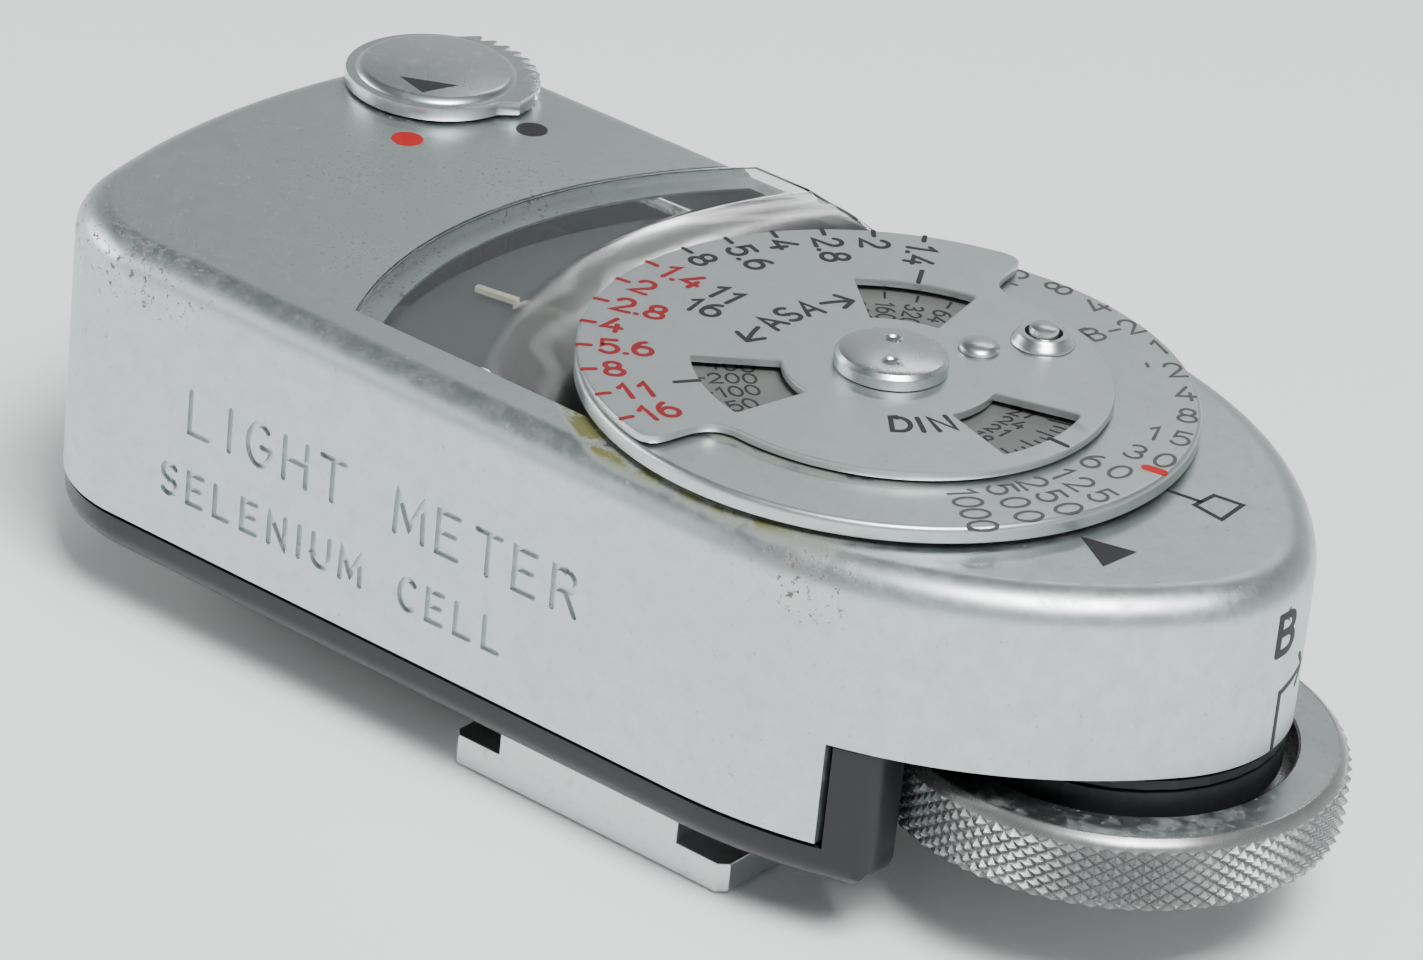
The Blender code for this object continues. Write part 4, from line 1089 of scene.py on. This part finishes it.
def build_aperture_disc():
    loops = [upper_outline()]
    for middle in (0.0, 120.0, 240.0):
        loops.append(rounded(sector(middle, CUTOUT_HALF_ANGLE, CUTOUT_IN_R, CUTOUT_OUT_R), 0.28, 4))
    loops.append(circle(0.0, 0.0, 1.3, 32))
    loops.append(circle(BUTTON.x, BUTTON.y, 1.1, 32))
    loops.append(circle(RIVET.x, RIVET.y, 0.8, 32))
    mesh = slab(loops, 23.4, UPPER_TOP_Z, 0.11)
    replaced = ("aperture_disc",)
    finish_piece("aperture_dial_disc", mesh, UPPER_SATIN, "aperture_dial", replaced)
    build_aperture_marks()


def build_aperture_marks():
    """Red and black stop numbers, the words between the cut-outs and their index lines."""
    low = UPPER_TOP_Z - 0.05
    high = UPPER_TOP_Z + 0.012
    layout = (1.5, 15.1, 0.25, (16.2, 15.55))
    red = number_ring(("1.4", "2", "2.8", "4", "5.6", "8", "11", "16"), -179.3, STOP_ANGLE, *layout)
    mesh = inked(red, 0.29, low, high)
    finish_piece("red_apertures", mesh, RED_INK, "aperture_dial")
    black = number_ring(("8", "5.6", "4", "2.8", "2", "1.4"), 170.9, -STOP_ANGLE, *layout)
    black += radial_text("11", 1.5, 11.9, -179.6, True, 0.2)
    black += radial_text("16", 1.5, 12.0, -168.8, True, 0.2)
    black += around_text("ASA", 1.5, 7.35, WORD_ANGLE, 0.3)
    black += arrow_marks()
    for letter, angle in (("D", -47.5), ("I", -38.5), ("N", -28.0)):
        black += letter_at(letter, 1.5, 6.5, angle, angle + 90.0)
    for angle, inner, outer in ((-122.0, 10.5, 11.8), (119.6, 10.5, 11.9), (-0.8, 10.4, 11.5)):
        black.append([polar(inner, angle), polar(outer, angle)])
    mesh = inked(black, 0.28, low, high)
    finish_piece("black_apertures", mesh, INK, "aperture_dial")


def arrow_marks():
    """Curved pointers from the word towards the two upper cut-outs."""
    strokes = []
    for way in (1.0, -1.0):
        end = WORD_ANGLE - way * 32.0
        shaft = arc(0.0, 0.0, 7.6, WORD_ANGLE - way * 18.5, end, 6)
        strokes.append(shaft)
        for side in (6.85, 8.35):
            strokes.append([polar(side, end + way * 5.5), shaft[-1]])
    return strokes


def build_centre_screw():
    """Head with two spanner holes, on its shank."""
    top = 24.87
    profile = [(0.0, top), (2.5, top), (2.78, top - 0.08), (2.98, top - 0.3), (3.0, top - 0.42)]
    profile += [(3.0, 24.0), (2.9, SEAT_Z), (0.95, SEAT_Z), (0.95, 19.0), (0.0, 19.0)]
    sink = [(0.0, top + 0.5), (0.5, top + 0.5), (0.5, top - 0.02), (0.4, top - 0.12)]
    sink += [(0.4, top - 0.6), (0.0, top - 0.7)]
    holes = [moved(lathe(sink, 32), *polar(1.32, angle)) for angle in (125.0, 305.0)]
    head = combine(lathe(profile, 128), holes)
    finish_piece("spanner_screw", head, POLISHED, "shutter_dial", ("centre_screw",), sharp=18.0)


def build_button():
    """Stepped lock button, its collar and the small rivet."""
    x, y = BUTTON.x, BUTTON.y
    collar = [(1.02, 24.05), (1.02, 24.5), (1.3, 24.5), (1.42, 24.4), (1.55, 24.15), (1.68, 24.05)]
    collar += [(1.72, SEAT_Z), (1.02, SEAT_Z)]
    finish_piece("button_ring", lathe(collar, 64), POLISHED, "aperture_dial", ("button_collar",), x, y)
    cap = [(0.0, 24.89), (0.6, 24.87), (0.74, 24.8), (0.8, 24.68), (0.8, 23.55), (0.0, 23.55)]
    finish_piece("button_cap", lathe(cap, 64), POLISHED, "button", ("lock_button",), x, y)
    head = [(0.0, 24.38), (0.75, 24.34), (0.98, 24.24), (1.08, 24.1), (1.08, SEAT_Z), (0.5, SEAT_Z)]
    head += [(0.5, 23.5), (0.0, 23.5)]
    x, y = RIVET.x, RIVET.y
    finish_piece("dial_rivet", lathe(head, 64), POLISHED, "aperture_dial", ("disc_rivet",), x, y)


# ---------------------------------------------------------------- coupling wheel
def knurled_band(radius, low, high, around, rows, depth):
    """Diamond knurl: a lattice of points, by turns on a pyramid's tip or in a groove crossing."""
    solid = bmesh.new()
    columns = 2 * around
    levels = 2 * rows
    grid = []
    for row in range(levels + 1):
        around_row = ring(solid, 1.0, low + (high - low) * row / levels, columns)
        tip = radius - depth * 0.45 if row in (0, levels) else radius
        for column, vertex in enumerate(around_row):
            reach = tip if (row + column) % 2 else radius - depth
            angle = 2.0 * pi * column / columns
            vertex.co.x = reach * cos(angle)
            vertex.co.y = reach * sin(angle)
        grid.append(around_row)
    for row in range(levels):
        for column in range(columns):
            after = (column + 1) % columns
            a, b = grid[row][column], grid[row][after]
            c, d = grid[row + 1][after], grid[row + 1][column]
            for corners in ((a, b, d), (b, c, d)) if (row + column) % 2 else ((a, b, c), (a, c, d)):
                solid.faces.new(corners)
    return solid, grid


def build_wheel():
    """Knurled cup wheel: band of diamonds, polished chamfer, flat stained top ring."""
    low = WHEEL_LOW_Z + 0.12
    high = 9.35
    top = WHEEL_TOP_Z
    solid, grid = knurled_band(WHEEL_R - 0.01, low, high, 78, 5, 0.3)
    chamfer = [(WHEEL_R - 0.3, high + 0.12), (WHEEL_R - 0.42, high + 0.3), (WHEEL_R - 0.58, top - 0.12)]
    chamfer += [(WHEEL_R - 0.72, top - 0.02), (WHEEL_R - 0.85, top)]
    cup = [(9.62, top), (9.5, top - 0.1), (9.5, 7.75), (2.3, 7.75), (2.3, 6.95), (4.2, 6.95), (4.2, 5.95)]
    cup += [(4.3, WHEEL_LOW_Z), (WHEEL_R - 0.7, WHEEL_LOW_Z)]
    previous = grid[-1]
    for index, (radius, height) in enumerate(chamfer + cup):
        row = ring(solid, radius, height, len(previous))
        faces = bridge(solid, previous, row)
        if index == len(chamfer):
            for face in faces:
                face.material_index = 1
        previous = row
    bridge(solid, previous, grid[0])
    mesh = closed(solid)
    indices = [polygon.material_index for polygon in mesh.polygons]
    replaced = ("coupling_wheel",)
    piece = finish_piece("knurled_wheel", mesh, KNURLED, "wheel", replaced, WHEEL_X, sharp=20.0)
    piece.data.materials.append(STAINED)
    for polygon, index in zip(piece.data.polygons, indices):
        polygon.material_index = index
    return piece


# ---------------------------------------------------------------- range knob
def knob_outline(radius, tooth_r, teeth=9):
    """Round body with a smooth thumb lug and a row of saw teeth after it."""
    lug_start = 4.0
    teeth_start = 26.0
    teeth_end = 112.0
    pitch = (teeth_end - teeth_start) / teeth
    points = arc(0.0, 0.0, radius, 118.0, 354.0, 90)
    points += arc(0.0, 0.0, tooth_r, lug_start, 22.0, 8)
    for tooth in range(teeth):
        base = teeth_start + pitch * tooth
        points.append(polar(radius + 0.12, base))
        points.append(polar(tooth_r, base + pitch * 0.22))
        points.append(polar(tooth_r - 0.06, base + pitch * 0.42))
    return points


def build_range_knob():
    """Range knob: toothed plate, domed cap and painted pointer."""
    base = slab([knob_outline(5.12, 5.88)], TOP_Z + 0.18, 22.98, 0.08)
    top = 23.28
    low = 22.9
    cap = [(0.0, top), (4.12, top), (4.28, top - 0.03), (4.48, top - 0.2)]
    cap += [(4.58, 22.97), (4.6, low), (0.0, low)]
    knob = closed(opened([base, lathe(cap, 160)]), False)
    finish_piece("range_dial", knob, POLISHED, "range_switch", ("range_knob",), KNOB_X, KNOB_Y)
    heading = -60.8
    spread = 37.0
    points = [polar(3.85, heading), polar(2.75, heading - spread), polar(2.75, heading + spread)]
    mark = slab([points], top - 0.03, top + 0.01)
    finish_piece("range_pointer", mark, INK, "range_switch", (), KNOB_X, KNOB_Y)


# ---------------------------------------------------------------- cell side
def build_cell():
    """Clear honeycomb window over the cell, as a plate with domed lenslets."""
    left, right = span("cell_window", X)
    bottom, top = span("cell_window", Z)
    back, front = span("cell_window", Y)
    dome_height = 0.35
    pitch = 1.9
    steps = 7
    wide = int((right - left) / pitch) * steps
    tall = int((top - bottom) / (pitch * 0.9)) * steps
    solid = bmesh.new()
    grid = []
    for row in range(tall + 1):
        line = []
        for column in range(wide + 1):
            u = column / steps
            v = row / steps
            shift = 0.5 if int(v) % 2 else 0.0
            du = abs(((u + shift) % 1.0) - 0.5) * 2.0
            dv = abs((v % 1.0) - 0.5) * 2.0
            edge = row in (0, tall) or column in (0, wide)
            dome = 0.0 if edge else max(0.0, 1.0 - (du * du + dv * dv) / 1.6) * dome_height
            x = left + (right - left) * column / wide
            z = bottom + (top - bottom) * row / tall
            line.append(solid.verts.new((x, front - dome_height + dome, z)))
        grid.append(line)
    for lower, upper in zip(grid, grid[1:]):
        bridge(solid, lower, upper, False)
    rim = [edge for edge in solid.edges if edge.is_boundary]
    pushed = bmesh.ops.extrude_edge_only(solid, edges=rim)
    for item in pushed["geom"]:
        if isinstance(item, bmesh.types.BMVert):
            item.co.y = back
    bmesh.ops.contextual_create(solid, geom=[edge for edge in solid.edges if edge.is_boundary])
    mesh = closed(solid)
    finish_piece("honeycomb_window", mesh, CELL_GLASS, "case", ("cell_window",), sharp=60.0)


# ---------------------------------------------------------------- pieces kept from the frame
KEPT = {
    BRASS: ("dial_bush", "dial_gear", "idler_gear", "wheel_gear", "gear_plate", "lower_bridge",
            "upper_bridge", "hairspring", "switch_wiper", "zero_screw") + numbered("contact_spring", 2),
    STEEL: ("dial_shaft", "idler_stud", "wheel_shaft", "wheel_screw", "wheel_spring", "coupling_pin",
            "iron_core", "pivot_staff", "lower_pivot", "knob_stem") + numbered("bridge_screw", 2)
           + numbered("case_screw", 4) + numbered("foot_screw", 4),
    BLACK: ("cell_frame", "wheel_bearing", "wheel_collar"),
    MAGNET: ("magnet_ring",),
    SCALE_GREY: ("scale_plate",),
    SELENIUM: ("selenium_cell",),
    COPPER: ("moving_coil",),
    CREAM: ("needle",),
    BOARD: ("contact_board",) + numbered("range_resistor", 2),
}


def dress_kept_nodes():
    for surface, names in KEPT.items():
        for name in names:
            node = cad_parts[name]
            node.data.materials.clear()
            node.data.materials.append(surface)


# ---------------------------------------------------------------- stage
def build_world():
    """Studio surroundings, graded from pale below to dark above with a pale ceiling."""
    world = bpy.data.worlds.new("studio")
    bpy.context.scene.world = world
    world.use_nodes = True
    tree = world.node_tree
    background = tree.nodes["Background"]
    where = tree.nodes.new("ShaderNodeTexCoord")
    split = tree.nodes.new("ShaderNodeSeparateXYZ")
    tree.links.new(where.outputs["Generated"], split.inputs[0])
    ramp = tree.nodes.new("ShaderNodeValToRGB")
    tree.links.new(split.outputs["Z"], ramp.inputs["Fac"])
    steps = ((0.0, (0.98, 1.0, 1.0)), (0.45, (0.50, 0.53, 0.54)), (0.62, (0.15, 0.18, 0.195)))
    steps += ((0.82, (0.15, 0.18, 0.19)), (0.97, (0.42, 0.45, 0.46)))
    for index, (height, colour) in enumerate(steps):
        stop = ramp.color_ramp.elements[index] if index < 2 else ramp.color_ramp.elements.new(height)
        stop.position = height
        stop.color = (*colour, 1.0)
    tree.links.new(ramp.outputs["Color"], background.inputs["Color"])
    background.inputs["Strength"].default_value = 0.8


def build_stage():
    """Pale floor and three soft lights."""
    floor_z = CAD_LOW.z - 0.0002
    solid = bmesh.new()
    bmesh.ops.create_grid(solid, x_segments=1, y_segments=1, size=6.0)
    bmesh.ops.translate(solid, verts=solid.verts, vec=(0.0, 0.0, floor_z))
    floor = bpy.data.objects.new("floor", closed(solid, False))
    bpy.context.scene.collection.objects.link(floor)
    floor.data.materials.append(Recipe("floor_paint").surface((0.9, 0.91, 0.91), 0.7, 0.0))
    soft_light("key_panel", (0.30, -0.17, 0.62), 0.30, 0.30, 9.0)
    soft_light("left_panel", (-0.62, -0.25, 0.22), 0.5, 0.25, 2.2)
    soft_light("rear_strip", (-0.20, 0.50, 0.445), 0.3, 0.03, 0.35)


def soft_light(name, where, wide, tall, power):
    """A rectangular lamp, sized in metres, that faces the middle of the meter."""
    lamp = bpy.data.lights.new(name, "AREA")
    lamp.shape = "RECTANGLE"
    lamp.size = wide
    lamp.size_y = tall
    lamp.energy = power
    light = bpy.data.objects.new(name, lamp)
    light.location = where
    aim = Vector((0.0, 0.0, 0.01)) - Vector(where)
    light.rotation_euler = aim.to_track_quat("-Z", "Y").to_euler()
    bpy.context.scene.collection.objects.link(light)


def build_camera():
    """A long lens from the near right, a little rolled, looking down on the dial."""
    azimuth = radians(36.39)
    elevation = radians(27.47)
    roll = radians(-5.95)
    distance = 339.4 * MM
    back = Vector((sin(azimuth) * cos(elevation), -cos(azimuth) * cos(elevation), sin(elevation)))
    level = (-back).cross(Vector((0.0, 0.0, 1.0))).normalized()
    sink = (-back).cross(level)
    right = level * cos(roll) + sink * sin(roll)
    down = sink * cos(roll) - level * sin(roll)
    dial_top = Vector((DIAL.x, DIAL.y, TOP_Z)) * MM
    centre = dial_top - right * (9.07 * MM) + down * (4.18 * MM)
    data = bpy.data.cameras.new("photo_view")
    data.sensor_width = 36.0
    data.lens = 165.9
    data.clip_start = 0.01
    data.clip_end = 20.0
    camera = bpy.data.objects.new("photo_view", data)
    axes = Matrix((right, -down, back)).transposed().to_4x4()
    camera.matrix_world = Matrix.Translation(centre + back * distance) @ axes
    bpy.context.scene.collection.objects.link(camera)
    bpy.context.scene.camera = camera


build_camera()
build_stage()
build_world()
dress_kept_nodes()
build_shell()
build_case_marks()
build_base()
build_foot()
build_window()
build_shutter_disc()
build_film_disc()
build_aperture_disc()
build_centre_screw()
build_button()
build_wheel()
build_range_knob()
build_cell()
